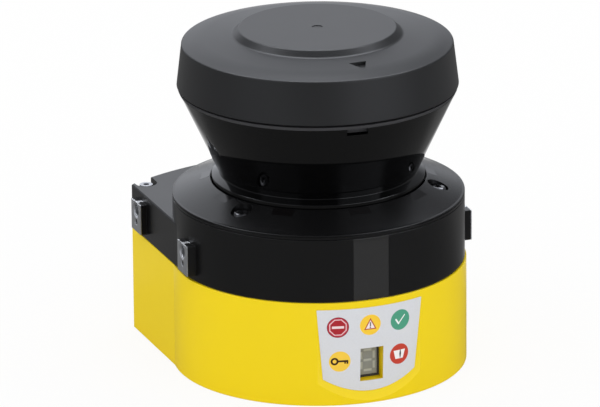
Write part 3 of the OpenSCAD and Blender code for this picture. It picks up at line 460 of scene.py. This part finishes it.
def cover_icon(s, p, colour):
    """Red round with a tapered pale cover and one dark slanting stroke."""
    u, v = p.at(p.column, p.low)
    cover = p.outline(u, v, [(90, 2.1), (-90, 2.5), (-14.6, 2.75), (194.6, 2.75)])
    slim = (abs(u - 0.55) + abs(v) * 0.16 - 0.52).within(0.14)
    colour = s.mix(p.disc(u, v, p.icon_r), colour, linear(200, 60, 40))
    colour = s.mix(p.inside(cover), colour, linear(244, 242, 242))
    return s.mix(slim * (abs(v) < 2.3), colour, linear(40, 36, 40))


def panel_print():
    """Printed film: pale grey with five round icons of plain shapes."""
    material, s = new_material("panel_print")
    x, y, z, vector = s.place()
    grain = s.noise(vector, 1200.0, 2.0)
    colour = s.mix(grain, linear(219, 221, 226), linear(211, 213, 218))
    printed = Print(s, x, y, z, 73.5)
    for icon in (stop_icon, warning_icon, clear_icon, key_icon, cover_icon):
        colour = icon(s, printed, colour)
    s.finish(
        Base_Color=colour,
        Roughness=grain * 0.06 + 0.36,
        Normal=s.bump(grain, 0.08, 0.00005),
    )
    return material


# ---------------------------------------------------------------- mesh helpers

CREASE = 30.0  # degrees between two faces from which their edge stays sharp


def corner_normals(made, added):
    """A normal for every face corner.

    It is exact on what is turned about the scan axis, and blended over broken edges.
    """
    limit = math.cos(math.radians(CREASE))
    area = {face: face.calc_area() for face in made.faces}
    nearest, skew = 20.0 * MM, 0.066

    def radial(face, level):
        """Whether a face looks straight away from the scan axis, or at it, all over."""
        n = face.normal
        for vert in face.verts:
            x, y = vert.co.xy
            r = vert.co.xy.length
            if r < nearest or abs(n.x * y - n.y * x) > skew * level * r:
                return False
        return level > 0.02

    turned = {}
    for face in made.faces:
        level = face.normal.xy.length
        turned[face] = level if radial(face, level) else 0.0

    def at(face, vert):
        n, level = face.normal, turned[face]
        if not level:
            return n
        out = vert.co.xy.normalized() * level
        if n.xy.dot(out) < 0:
            out.negate()
        return Vector((out.x, out.y, n.z))

    def gather(vert, aim, faces, near, like=None):
        total = Vector()
        for loop in vert.link_loops:
            face = loop.face
            if face not in faces or (like and bool(turned[face]) != bool(turned[like])):
                continue
            n = at(face, vert)
            if n.dot(aim) > near:
                total += n * area[face]
        return total

    kept = set(made.faces) - added
    normals = []
    for face in made.faces:
        for vert in face.verts:
            aim = at(face, vert)
            if face in added:
                n = gather(vert, aim, kept, 0.3)
                if n.length < 1e-6:
                    n = gather(vert, aim, added, 0.3)
            else:
                n = gather(vert, aim, kept, limit, face)
            normals.append((n if n.length > 1e-6 else aim).normalized())
    return normals


def finish_mesh(made, name, added=frozenset()):
    """Turns worked faces into a mesh with smooth faces and a normal for each corner."""
    made.normal_update()
    normals = corner_normals(made, added)
    for face in made.faces:
        face.smooth = True
    mesh = bpy.data.meshes.new(name)
    made.to_mesh(mesh)
    made.free()
    mesh.normals_split_custom_set([tuple(n) for n in normals])
    return mesh


def stand_for(node, mesh, material):
    """Puts a mesh into the scene in the place of a CAD node."""
    mesh.materials.clear()
    mesh.materials.append(material)
    piece = bpy.data.objects.new(node + "_finish", mesh)
    bpy.context.scene.collection.objects.link(piece)
    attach(piece, frame["nodes"][node]["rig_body"])
    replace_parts(piece, node)
    return piece


def refined(node, material, radius=0.0, steps=3, wanted=None, cutters=()):
    """The node's own shape with joined faces, exact normals and, where wanted, broken edges and cuts."""
    made = bmesh.new()
    made.from_mesh(frame["nodes"][node].data)
    bmesh.ops.remove_doubles(made, verts=made.verts, dist=0.004 * MM)
    bmesh.ops.dissolve_limit(
        made, angle_limit=math.radians(0.1), verts=made.verts, edges=made.edges, delimit={"NORMAL"})
    made.normal_update()
    added = set()
    if radius:
        sharp = [
            e for e in made.edges
            if len(e.link_faces) == 2 and e.calc_face_angle(0.0) > math.radians(CREASE)
            and e.is_convex and (wanted is None or wanted(e))
        ]
        done = bmesh.ops.bevel(
            made, geom=sharp, offset=radius, offset_type="OFFSET", segments=steps,
            profile=0.5, affect="EDGES", clamp_overlap=False)
        added = set(done["faces"])
    if cutters:
        made, added = carved(made, cutters), set()
    return stand_for(node, finish_mesh(made, node + "_finish", added), material)


def turned_piece(node, made, material):
    """Puts a newly made shape in the place of a CAD node."""
    return stand_for(node, finish_mesh(made, node + "_finish"), material)


def rounded(points, steps):
    """Closed outline with rounded corners. Points are (radius, height, corner radius) in millimetres."""
    outline = []
    for i, (r, z, corner) in enumerate(points):
        here = Vector((r, z))
        if not corner:
            outline.append(here)
            continue
        back = Vector(points[i - 1][:2]) - here
        ahead = Vector(points[(i + 1) % len(points)][:2]) - here
        half = back.angle(ahead) / 2
        reach = min(corner / math.tan(half), 0.49 * back.length, 0.49 * ahead.length)
        size = reach * math.tan(half)
        centre = here + (back.normalized() + ahead.normalized()).normalized() * (size / math.sin(half))
        start = here + back.normalized() * reach - centre
        end = here + ahead.normalized() * reach - centre
        sweep = start.angle_signed(end)
        for k in range(steps + 1):
            turn = Matrix.Rotation(-sweep * k / steps, 2)
            outline.append(centre + turn @ start)
    return outline


def about_axis(radius, degrees):
    """A place round the scan axis, counted from the front."""
    a = math.radians(degrees)
    return radius * math.sin(a), -radius * math.cos(a)


def lathe(points, segments=240, steps=8):
    """Turns an outline round the scan axis."""
    made = bmesh.new()
    spokes = [about_axis(1.0, 360.0 * k / segments) for k in range(segments)]
    rings = []
    for r, z in rounded(points, steps):
        if r < 1e-6:
            rings.append([made.verts.new((0.0, 0.0, z * MM))] * segments)
        else:
            rings.append([made.verts.new((r * MM * x, r * MM * y, z * MM)) for x, y in spokes])
    for low, high in zip(rings, rings[1:] + rings[:1]):
        if low[0] is low[1] and high[0] is high[1]:
            continue
        for k in range(segments):
            corners = [low[k], low[k - 1], high[k - 1], high[k]]
            made.faces.new(list(dict.fromkeys(corners)))
    bmesh.ops.recalc_face_normals(made, faces=made.faces)
    return made


def prism(outline, low, high, turn=None):
    """Cutter: an outline in millimetres drawn upwards, then turned in place."""
    made = bmesh.new()
    bottom = [made.verts.new((x * MM, y * MM, low * MM)) for x, y in outline]
    top = [made.verts.new((x * MM, y * MM, high * MM)) for x, y in outline]
    made.faces.new(bottom[::-1])
    made.faces.new(top)
    for k in range(len(outline)):
        made.faces.new((bottom[k - 1], bottom[k], top[k], top[k - 1]))
    if turn is not None:
        bmesh.ops.transform(made, matrix=turn, verts=made.verts)
    bmesh.ops.recalc_face_normals(made, faces=made.faces)
    return made


def circle(x, y, r, count=48):
    """Outline of a round, or of a regular shape with few corners."""
    turns = [2 * math.pi * k / count for k in range(count)]
    return [(x + r * math.cos(a), y + r * math.sin(a)) for a in turns]


def cone(face, inwards, wide, narrow):
    """Countersink cutter at 45 degrees: wide at the face, narrow inside."""
    made = bmesh.new()
    matrix = Matrix.Translation(face) @ inwards.to_track_quat("Z", "Y").to_matrix().to_4x4()
    over = 1.0 * MM
    rings = [
        [made.verts.new(matrix @ Vector((x, y, z))) for x, y in circle(0.0, 0.0, r)]
        for r, z in ((wide, -over), (wide, 0.0), (narrow, wide - narrow))
    ]
    for low, high in zip(rings, rings[1:]):
        for k in range(len(low)):
            made.faces.new((low[k - 1], low[k], high[k], high[k - 1]))
    made.faces.new(rings[0][::-1])
    made.faces.new(rings[-1])
    bmesh.ops.recalc_face_normals(made, faces=made.faces)
    return made


def oblong(width, length):
    """Outline of a rectangle round the origin."""
    x, y = width / 2, length / 2
    return [(-x, -y), (x, -y), (x, y), (-x, y)]


def carved(body, cutters):
    """Cuts every cutter out of the body."""
    collection = bpy.context.scene.collection
    things = []
    for made in (body, *cutters):
        mesh = bpy.data.meshes.new("cut")
        made.to_mesh(mesh)
        made.free()
        things.append(bpy.data.objects.new("cut", mesh))
        collection.objects.link(things[-1])
    for cutter in things[1:]:
        step = things[0].modifiers.new("cut", "BOOLEAN")
        step.operation = "DIFFERENCE"
        step.solver = "EXACT"
        step.object = cutter
    seen = things[0].evaluated_get(bpy.context.evaluated_depsgraph_get())
    result = bmesh.new()
    result.from_mesh(seen.to_mesh())
    seen.to_mesh_clear()
    for thing in things:
        mesh = thing.data
        bpy.data.objects.remove(thing)
        bpy.data.meshes.remove(mesh)
    bmesh.ops.remove_doubles(result, verts=result.verts, dist=0.001 * MM)
    return result


def painted(node, material):
    """Puts a material on the CAD node itself."""
    target = frame["nodes"][node]
    if not target.material_slots:
        target.data.materials.append(material)
    for entry in target.material_slots:
        entry.material = material


SLOT_OF = {s["node"]: s["material_slot"] for s in frame["record"]["subparts"]}


# ---------------------------------------------------------------- settings

class ScannerFinish(bpy.types.PropertyGroup):
    """Colours, gloss and small sizes of the scanner's finishes."""

    yellow: FloatVectorProperty(
        name="Yellow paint", description="Colour of the base housing", subtype="COLOR", size=3,
        default=(0.90, 0.67, 0.003))
    black: FloatVectorProperty(
        name="Black paint", description="Colour of the upper housing", subtype="COLOR", size=3,
        default=(0.0040, 0.0040, 0.0043))
    cap: FloatVectorProperty(
        name="Cap plastic", description="Colour of the head cap", subtype="COLOR", size=3,
        default=(0.014, 0.0145, 0.0158))
    cover: FloatVectorProperty(
        name="Optics cover", description="Colour of the dark optics cover", subtype="COLOR", size=3,
        default=(0.0012, 0.0012, 0.0013))
    edge_break: FloatProperty(
        name="Edge break", description="Radius on the edges of the housings", unit="LENGTH",
        default=0.45 * MM, min=0.0, max=1.0 * MM)
    countersink: FloatProperty(
        name="Countersink", description="How far the side holes open out at the face", unit="LENGTH",
        default=0.8 * MM, min=0.1 * MM, max=1.5 * MM)


class ScannerStage(bpy.types.PropertyGroup):
    """Camera and light."""

    azimuth: FloatProperty(
        name="Azimuth", description="How far the camera stands to the left of the front", subtype="ANGLE",
        default=math.radians(20.6))
    elevation: FloatProperty(
        name="Elevation", description="How far the camera looks down", subtype="ANGLE",
        default=math.radians(18.69))
    distance: FloatProperty(
        name="Distance", description="From the camera to its aim", unit="LENGTH", default=3.535)
    lens: FloatProperty(name="Lens", description="Focal length in millimetres", default=419.08)
    roll: FloatProperty(
        name="Roll", description="How far the camera leans to its right", subtype="ANGLE",
        default=math.radians(-0.49))
    room: FloatProperty(
        name="Room light", description="Light that falls on the scanner from all round", default=1.0)
    boxes: FloatProperty(
        name="Soft boxes", description="Brightness of the right soft box in reflections", default=1.5)
    strip: FloatProperty(
        name="Strip light", description="Brightness of the strip overhead in reflections", default=5.0)
    patch: FloatProperty(
        name="Floor patch", description="Brightness of the floor behind the scanner in reflections",
        default=1.15)


# ---------------------------------------------------------------- operators

class SCANNER_OT_base(bpy.types.Operator):
    """Paint the yellow base housing"""

    bl_idname = "scanner.base"
    bl_label = "Base housing"

    def execute(self, context):
        f = context.scene.scanner_finish

        def outside(edge):
            """Whether an edge lies on the outer walls, and not in the panel's recess."""
            middle = (edge.verts[0].co + edge.verts[1].co) / 2
            round_front = middle.xy.length if middle.y < 20.0 * MM else 0.0
            wall = max(round_front, abs(middle.x) + 1.1 * MM)
            recess = middle.y < -60.0 * MM and 3.0 * MM < middle.z < 50.0 * MM
            return wall > 74.6 * MM and not recess

        refined("base_housing", yellow_paint(tuple(f.yellow), 0.30), f.edge_break, wanted=outside)
        return {"FINISHED"}


class SCANNER_OT_upper(bpy.types.Operator):
    """Paint the black upper housing and bare its machined bosses"""

    bl_idname = "scanner.upper"
    bl_label = "Upper housing"

    def execute(self, context):
        f = context.scene.scanner_finish
        mount = {m["name"]: m for m in frame["record"]["mounts"]}["left_side_holes"]
        half = mount["dims"]["spacing_x_mm"] / 2 * MM
        bosses = {
            "face": abs(mount["pos_m"][0]),
            "y": (mount["pos_m"][1] - half, mount["pos_m"][1] + half),
            "hole_z": mount["pos_m"][2],
            "hole_r": mount["dims"]["hole_r_mm"] * MM,
            "hole_length": 10.0 * MM,
        }
        wide, narrow = bosses["hole_r"] + f.countersink, bosses["hole_r"] - 0.05 * MM
        cutters = []
        for along in bosses["y"]:
            for side in (-1, 1):
                mouth = Vector((side * bosses["face"], along, bosses["hole_z"]))
                cutters.append(cone(mouth, Vector((-side, 0, 0)), wide, narrow))
        black = black_paint(tuple(f.black), 0.30, bosses, f.edge_break)
        refined("upper_housing", black, cutters=cutters)
        return {"FINISHED"}


class SCANNER_OT_panel(bpy.types.Operator):
    """Print the panel film and finish the digit display"""

    bl_idname = "scanner.panel"
    bl_label = "Display panel"

    def execute(self, context):
        refined("panel_foil", panel_print())
        refined("digit_plate", digit_grey())
        return {"FINISHED"}


class SCANNER_OT_ring(bpy.types.Operator):
    """Turn the conical ring cover and finish its screws and sensor windows"""

    bl_idname = "scanner.ring"
    bl_label = "Ring cover"

    screws = (-60.0, 60.0, 180.0)  # degrees from the front
    screw_r = 61.0                 # radius at which the screws stand
    seat_z = 90.1                  # what the heads of the screws stand on
    slope = math.atan(7.0 / 17.7)  # fall of the cone's top towards its rim

    def execute(self, context):
        black = moulded_black(
            "black_plastic", tuple(context.scene.scanner_finish.black), 0.26, 0.5 * MM, 0.01 * MM)
        turned_piece("ring_cover", carved(self.body(), self.pockets()), black)
        refined("ring_windows", polished_dark("dark_window", (0.0016, 0.0011, 0.0012), 0.04))
        turned_piece("ring_cover_screws", self.heads(), plain_metal("black_steel", (0.22, 0.22, 0.23), 0.24))
        return {"FINISHED"}

    def body(self):
        """Cone with an upright rim, which has a fine groove, over a step that enters the ring."""
        hole_r, rim_r, groove_r, step_r = 54.6, 74.0, 73.55, 73.5
        return lathe([
            (hole_r, 91.0, 0), (hole_r, 97.0, 0.35), (72.75, 89.82, 0.8), (rim_r, 89.55, 0.75),
            (rim_r, 88.9, 0.08), (groove_r, 88.86, 0.1), (groove_r, 88.58, 0.1), (rim_r, 88.54, 0.08),
            (rim_r, 87.36, 0.15), (step_r, 87.25, 0.1), (step_r, 87.0, 0), (70.3, 87.0, 0),
            (70.3, 85.5, 0), (68.1, 85.5, 0), (68.1, 89.0, 0), (57.6, 93.2, 0), (57.6, 91.0, 0)], steps=6)

    def pockets(self):
        """Cutters for the screw heads and for the sensor windows, which lie in the cone's top."""
        window_r, rim_r, rim_z = 57.55, 72.3, 90.0
        height = rim_z + (rim_r - window_r) * math.tan(self.slope)
        lean = Matrix.Translation((0.0, -window_r * MM, height * MM)) @ Matrix.Rotation(self.slope, 4, "X")
        cutters = [prism(circle(*about_axis(self.screw_r, a), 5.3), 90.07, 110.0) for a in self.screws]
        for i in range(-3, 4):
            turn = Matrix.Rotation(math.radians(38.7 * i), 4, "Z")
            cutters.append(prism(oblong(11.0, 5.3), -1.1, 3.0, turn @ lean))
        return cutters

    def heads(self):
        """Round screw heads with a hexagon socket."""
        heads = bmesh.new()
        for degrees in self.screws:
            z, r = self.seat_z, 4.4
            outline = [(0.0, z, 0), (r, z, 0), (r, z + 1.8, 0.3), (r - 1.0, z + 3.3, 1.2), (0.0, z + 3.8, 0)]
            head = carved(lathe(outline, 48, 5), [prism(circle(0.0, 0.0, 1.9, 6), z + 2.1, z + 5.9)])
            x, y = about_axis(self.screw_r, degrees)
            bmesh.ops.translate(head, verts=head.verts, vec=(x * MM, y * MM, 0.0))
            mesh = bpy.data.meshes.new("screw")
            head.to_mesh(mesh)
            head.free()
            heads.from_mesh(mesh)
            bpy.data.meshes.remove(mesh)
        return heads


class SCANNER_OT_cover(bpy.types.Operator):
    """Turn and polish the dark optics cover"""

    bl_idname = "scanner.cover"
    bl_label = "Optics cover"

    def execute(self, context):
        bore_r, flange_r, top_r, top_z, wall = 48.8, 54.0, 69.86, 143.0, 2.4
        body = lathe([
            (bore_r, 95.0, 0), (flange_r, 95.0, 0), (flange_r, 98.7, 0.5), (50.28, 100.7, 0.5),
            (top_r, top_z, 0.1), (top_r - wall, top_z, 0), (bore_r, 102.7, 0)], steps=10)
        inner, outer, half_width = 50.0, 80.0, 5.4
        outline = [(-half_width, -outer), (half_width, -outer), (half_width, -inner), (-half_width, -inner)]
        notch = prism(outline, top_z - 3.7, 150.0, Matrix.Rotation(math.radians(-4.2), 4, "Z"))
        dark = polished_dark("dark_cover", tuple(context.scene.scanner_finish.cover), 0.03)
        turned_piece("optics_cover", carved(body, [notch]), dark)
        return {"FINISHED"}


class SCANNER_OT_head(bpy.types.Operator):
    """Turn the head ring and the cap"""

    bl_idname = "scanner.head"
    bl_label = "Head"

    top_z = 175.3  # top of the raised disc

    def execute(self, context):
        turned_piece("head_ring", self.ring(), bpy.data.materials["black_plastic"])
        arrow_turn = Matrix.Rotation(math.radians(2.3), 4, "Z")
        arrow = prism([(-4.6, -50.5), (4.6, -50.5), (0.0, -60.1)], 169.4, 173.0, arrow_turn)
        gate = prism(circle(0.0, 0.0, 2.7), self.top_z - 0.3, 177.0)
        grained = moulded_black(
            "cap_plastic", tuple(context.scene.scanner_finish.cap), 0.38, 0.4 * MM, 0.02 * MM)
        turned_piece("head_cap", carved(self.cap(), [arrow, gate]), grained)
        return {"FINISHED"}

    def ring(self):
        """Flat ring between the optics cover and the cap, with a bevelled outer edge."""
        post_r, seat_r, low_z, joint_z, high_z = 57.6, 61.77, 140.0, 143.0, 144.7
        return lathe([
            (post_r, low_z, 0), (65.87, low_z, 0), (67.26, joint_z, 0), (69.86, joint_z, 0.1),
            (70.64, high_z - 0.02, 0.35), (seat_r, high_z, 0), (seat_r, 142.4, 0), (post_r, 142.4, 0)])

    def cap(self):
        """Round cap with a raised disc, a domed shoulder and a side that widens downwards."""
        disc_r, rim_r, rim_z, wall = 39.7, 71.1, 145.7, 3.4
        return lathe([
            (0.0, self.top_z, 0), (disc_r, self.top_z, 1.3), (42.9, 172.05, 2.6), (60.6, 169.98, 50.0),
            (68.45, 167.75, 1.1), (rim_r, rim_z, 0.5), (68.71, rim_z, 0), (66.2, 166.1, 0), (60.4, 167.4, 0),
            (43.6, 169.5, 0), (39.6, self.top_z - wall, 0), (0.0, self.top_z - wall, 0)], steps=12)


class SCANNER_OT_rear(bpy.types.Operator):
    """Finish the rear plug, its blanking plugs, the service cap and the outer screws"""

    bl_idname = "scanner.rear"
    bl_label = "Rear plug"

    def execute(self, context):
        black = bpy.data.materials["black_plastic"]
        for node in ("system_plug", "blanking_plugs", "service_cap"):
            refined(node, black, 0.2 * MM, 2)
        zinc = plain_metal("zinc_steel", (0.62, 0.63, 0.66), 0.3)
        for node in ("plug_screws", "front_housing_screws", "rear_housing_screws"):
            refined(node, zinc)
        return {"FINISHED"}


class SCANNER_OT_inner(bpy.types.Operator):
    """Give every other node the finish of its slot"""

    bl_idname = "scanner.inner"
    bl_label = "Inner parts"

    def execute(self, context):
        made = {
            "black_rubber": lambda n: plain_moulding(n, (0.012, 0.012, 0.012), 0.7),
            "clear_plastic": lambda n: plain_moulding(
                n, (0.8, 0.82, 0.85), 0.12, Transmission_Weight=0.6),
            "circuit_board": lambda n: board_green(),
            "bearing_steel": lambda n: plain_metal(n, (0.75, 0.76, 0.78), 0.16),
            "core_steel": lambda n: plain_metal(n, (0.3, 0.3, 0.32), 0.45),
            "cast_alloy": lambda n: plain_metal(n, (0.66, 0.66, 0.67), 0.42),
            "black_alloy": lambda n: plain_moulding(n, (0.012, 0.012, 0.013), 0.5),
            "copper_wire": lambda n: plain_metal(n, (0.7, 0.32, 0.14), 0.3),
            "brass_barrel": lambda n: plain_metal(n, (0.78, 0.56, 0.22), 0.28),
            "lens_glass": lambda n: plain_moulding(
                n, (0.85, 0.92, 0.95), 0.06, Transmission_Weight=0.9, IOR=1.5),
            "mirror_coat": lambda n: plain_metal(n, (0.9, 0.91, 0.93), 0.08),
        }
        replaced = {r for o in bpy.data.objects for r in o.get("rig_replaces", [])}
        for node in frame["nodes"]:
            if node in replaced:
                continue
            slot = SLOT_OF[node]
            painted(node, bpy.data.materials.get(slot) or made[slot](slot))
        return {"FINISHED"}


class SCANNER_OT_stage(bpy.types.Operator):
    """Set up the floor, the room's light and the camera"""

    bl_idname = "scanner.stage"
    bl_label = "Stage"

    def execute(self, context):
        scene = context.scene
        settings = scene.scanner_stage
        self.floor(scene, settings)
        self.room(scene, settings)
        self.camera(scene, settings)
        scene.view_settings.view_transform = "Standard"
        return {"FINISHED"}

    def rays(self, s):
        """1 for what the camera sees, and 1 for what shows in reflections."""
        path = s.node("ShaderNodeLightPath")
        return Value(s, path.outputs["Is Camera Ray"]), Value(s, path.outputs["Is Glossy Ray"])

    def floor(self, scene, settings):
        """White floor that keeps the scanner's shadow and is dim in reflections."""
        mesh = bpy.data.meshes.new("floor")
        made = bmesh.new()
        bmesh.ops.create_grid(made, x_segments=8, y_segments=8, size=6.0)
        made.to_mesh(mesh)
        made.free()
        floor = bpy.data.objects.new("floor", mesh)
        floor.location.z = -0.2 * MM
        scene.collection.objects.link(floor)
        material, s = new_material("floor_white")
        mesh.materials.append(material)

        seen, glossy = self.rays(s)
        white = (1.0, 1.0, 1.0)
        paper = s.node("ShaderNodeBsdfDiffuse", Color=(0.9, 0.9, 0.9))
        lit = s.node("ShaderNodeEmission", Color=white, Strength=1.0)
        # reflections show one bright patch straight behind the scanner
        x, y = s.place()[:2]
        a = settings.azimuth
        across = x * math.cos(a) - y * math.sin(a)
        beyond = x * math.sin(a) + y * math.cos(a)
        patch = across.ramp(-0.16, -0.1) * (1.0 - across.ramp(0.08, 0.14)) * settings.patch
        glow = beyond.ramp(0.09, 0.15) * (patch + 0.08) + 0.14
        dim = s.node("ShaderNodeEmission", Color=white, Strength=glow)
        s.surface(s.blend(glossy, s.blend(seen * 0.88, paper, lit), dim))

    def room(self, scene, settings):
        """White to the camera, soft all round for matt surfaces, and a dim studio in reflections."""
        world = bpy.data.worlds.new("studio")
        scene.world = world
        world.use_nodes = True
        s = Shader(world.node_tree)
        direction = s.node("ShaderNodeTexCoord").outputs["Generated"]
        split = s.node("ShaderNodeSeparateXYZ", Vector=direction)
        x, y, up = (Value(s, split.outputs[i]) for i in range(3))
        a = settings.azimuth
        across = x * math.cos(a) - y * math.sin(a)
        towards = x * -math.sin(a) - y * math.cos(a)
        seen, glossy = self.rays(s)
        mirrored = (
            self.soft_boxes(s, across, towards, up) * settings.boxes
            + self.strip_light(across, towards, up) * settings.strip
            + self.walls(across, towards, up))
        soft = (towards * 0.08 + up * 0.05 + 1.05) * settings.room
        strength = seen + (1.0 - seen) * (glossy * mirrored + (1.0 - glossy) * soft)
        tint = s.mix(glossy, (1.0, 1.0, 1.0), (0.95, 0.98, 1.05))
        background = s.node("ShaderNodeBackground", Color=tint, Strength=strength)
        output = s.node("ShaderNodeOutputWorld")
        s.tree.links.new(background.outputs[0], output.inputs[0])

    def walls(self, across, towards, up):
        """Bright wall behind, dim at its right, and a dark room in front."""
        level = (across * across + towards * towards).root().at_least(0.001)
        behind = (-towards / level).ramp(0.72, 0.88)
        wall = 1.0 - up.ramp(0.45, 0.9) * 0.3
        front = 0.18 - up.ramp(0.68, 0.84) * 0.12
        right = (across / level).ramp(0.05, 0.35)
        return behind * (right * (0.2 - wall) + wall - front) + front

    def soft_boxes(self, s, across, towards, up):
        """Two soft boxes at the scanner's height, a weak one left of the camera and one on its right."""
        turn = s.math("ARCTAN2", across, towards)
        band = up.ramp(-0.08, 0.08) * (1.0 - up.ramp(0.5, 0.62))
        left = turn.ramp(-1.3, -1.2) * (1.0 - turn.ramp(-0.45, -0.3))
        right = turn.ramp(0.35, 0.5) * (1.0 - turn.ramp(1.3, 1.4))
        return (left * 0.35 + right) * band

    def strip_light(self, across, towards, up):
        """One strip light overhead, a little behind the scanner."""
        depth = towards.ramp(-0.56, -0.48) * (1.0 - towards.ramp(-0.12, 0.0))
        width = across.ramp(-0.8, -0.7) * (1.0 - across.ramp(0.7, 0.8))
        return depth * width * up.ramp(0.68, 0.76)

    def camera(self, scene, settings):
        """Camera with a long lens, turned round a point near the scan axis."""
        aim_across, aim_height = -9.17 * MM, 81.45 * MM
        framing_shift = 0.5 / 600.0
        data = bpy.data.cameras.new("camera")
        data.lens = settings.lens
        data.sensor_width = 36.0
        data.shift_x, data.shift_y = -framing_shift, framing_shift
        data.clip_start, data.clip_end = 0.1, 40.0
        a, e, roll = settings.azimuth, settings.elevation, settings.roll
        right = Vector((math.cos(a), -math.sin(a), 0.0))
        back = Vector((-math.sin(a) * math.cos(e), -math.cos(a) * math.cos(e), math.sin(e)))
        up = back.cross(right)
        side = right * math.cos(roll) + up * math.sin(roll)
        top = up * math.cos(roll) - right * math.sin(roll)
        camera = bpy.data.objects.new("camera", data)
        camera.matrix_world = Matrix((side, top, back)).transposed().to_4x4()
        camera.location = right * aim_across + Vector((0.0, 0.0, aim_height)) + back * settings.distance
        scene.collection.objects.link(camera)
        scene.camera = camera


class VIEW3D_PT_scanner(bpy.types.Panel):
    """Lists the scanner's settings and steps"""

    bl_idname = "VIEW3D_PT_scanner"
    bl_label = "Laser scanner"
    bl_space_type = "VIEW_3D"
    bl_region_type = "UI"
    bl_category = "Scanner"

    def draw(self, context):
        for group in (context.scene.scanner_finish, context.scene.scanner_stage):
            for name in group.__annotations__:
                self.layout.prop(group, name)
        for step in STEPS:
            self.layout.operator(step.bl_idname)


STEPS = (
    SCANNER_OT_base,
    SCANNER_OT_upper,
    SCANNER_OT_panel,
    SCANNER_OT_ring,
    SCANNER_OT_cover,
    SCANNER_OT_head,
    SCANNER_OT_rear,
    SCANNER_OT_inner,
    SCANNER_OT_stage,
)
GROUPS = (ScannerFinish, ScannerStage)


def register():
    for group in (*GROUPS, *STEPS, VIEW3D_PT_scanner):
        bpy.utils.register_class(group)
    bpy.types.Scene.scanner_finish = PointerProperty(type=ScannerFinish)
    bpy.types.Scene.scanner_stage = PointerProperty(type=ScannerStage)


def unregister():
    del bpy.types.Scene.scanner_stage
    del bpy.types.Scene.scanner_finish
    for group in reversed((*GROUPS, *STEPS, VIEW3D_PT_scanner)):
        bpy.utils.unregister_class(group)


def main():
    register()
    for step in STEPS:
        section, name = step.bl_idname.split(".")
        getattr(getattr(bpy.ops, section), name)()


if __name__ == "__main__":
    main()
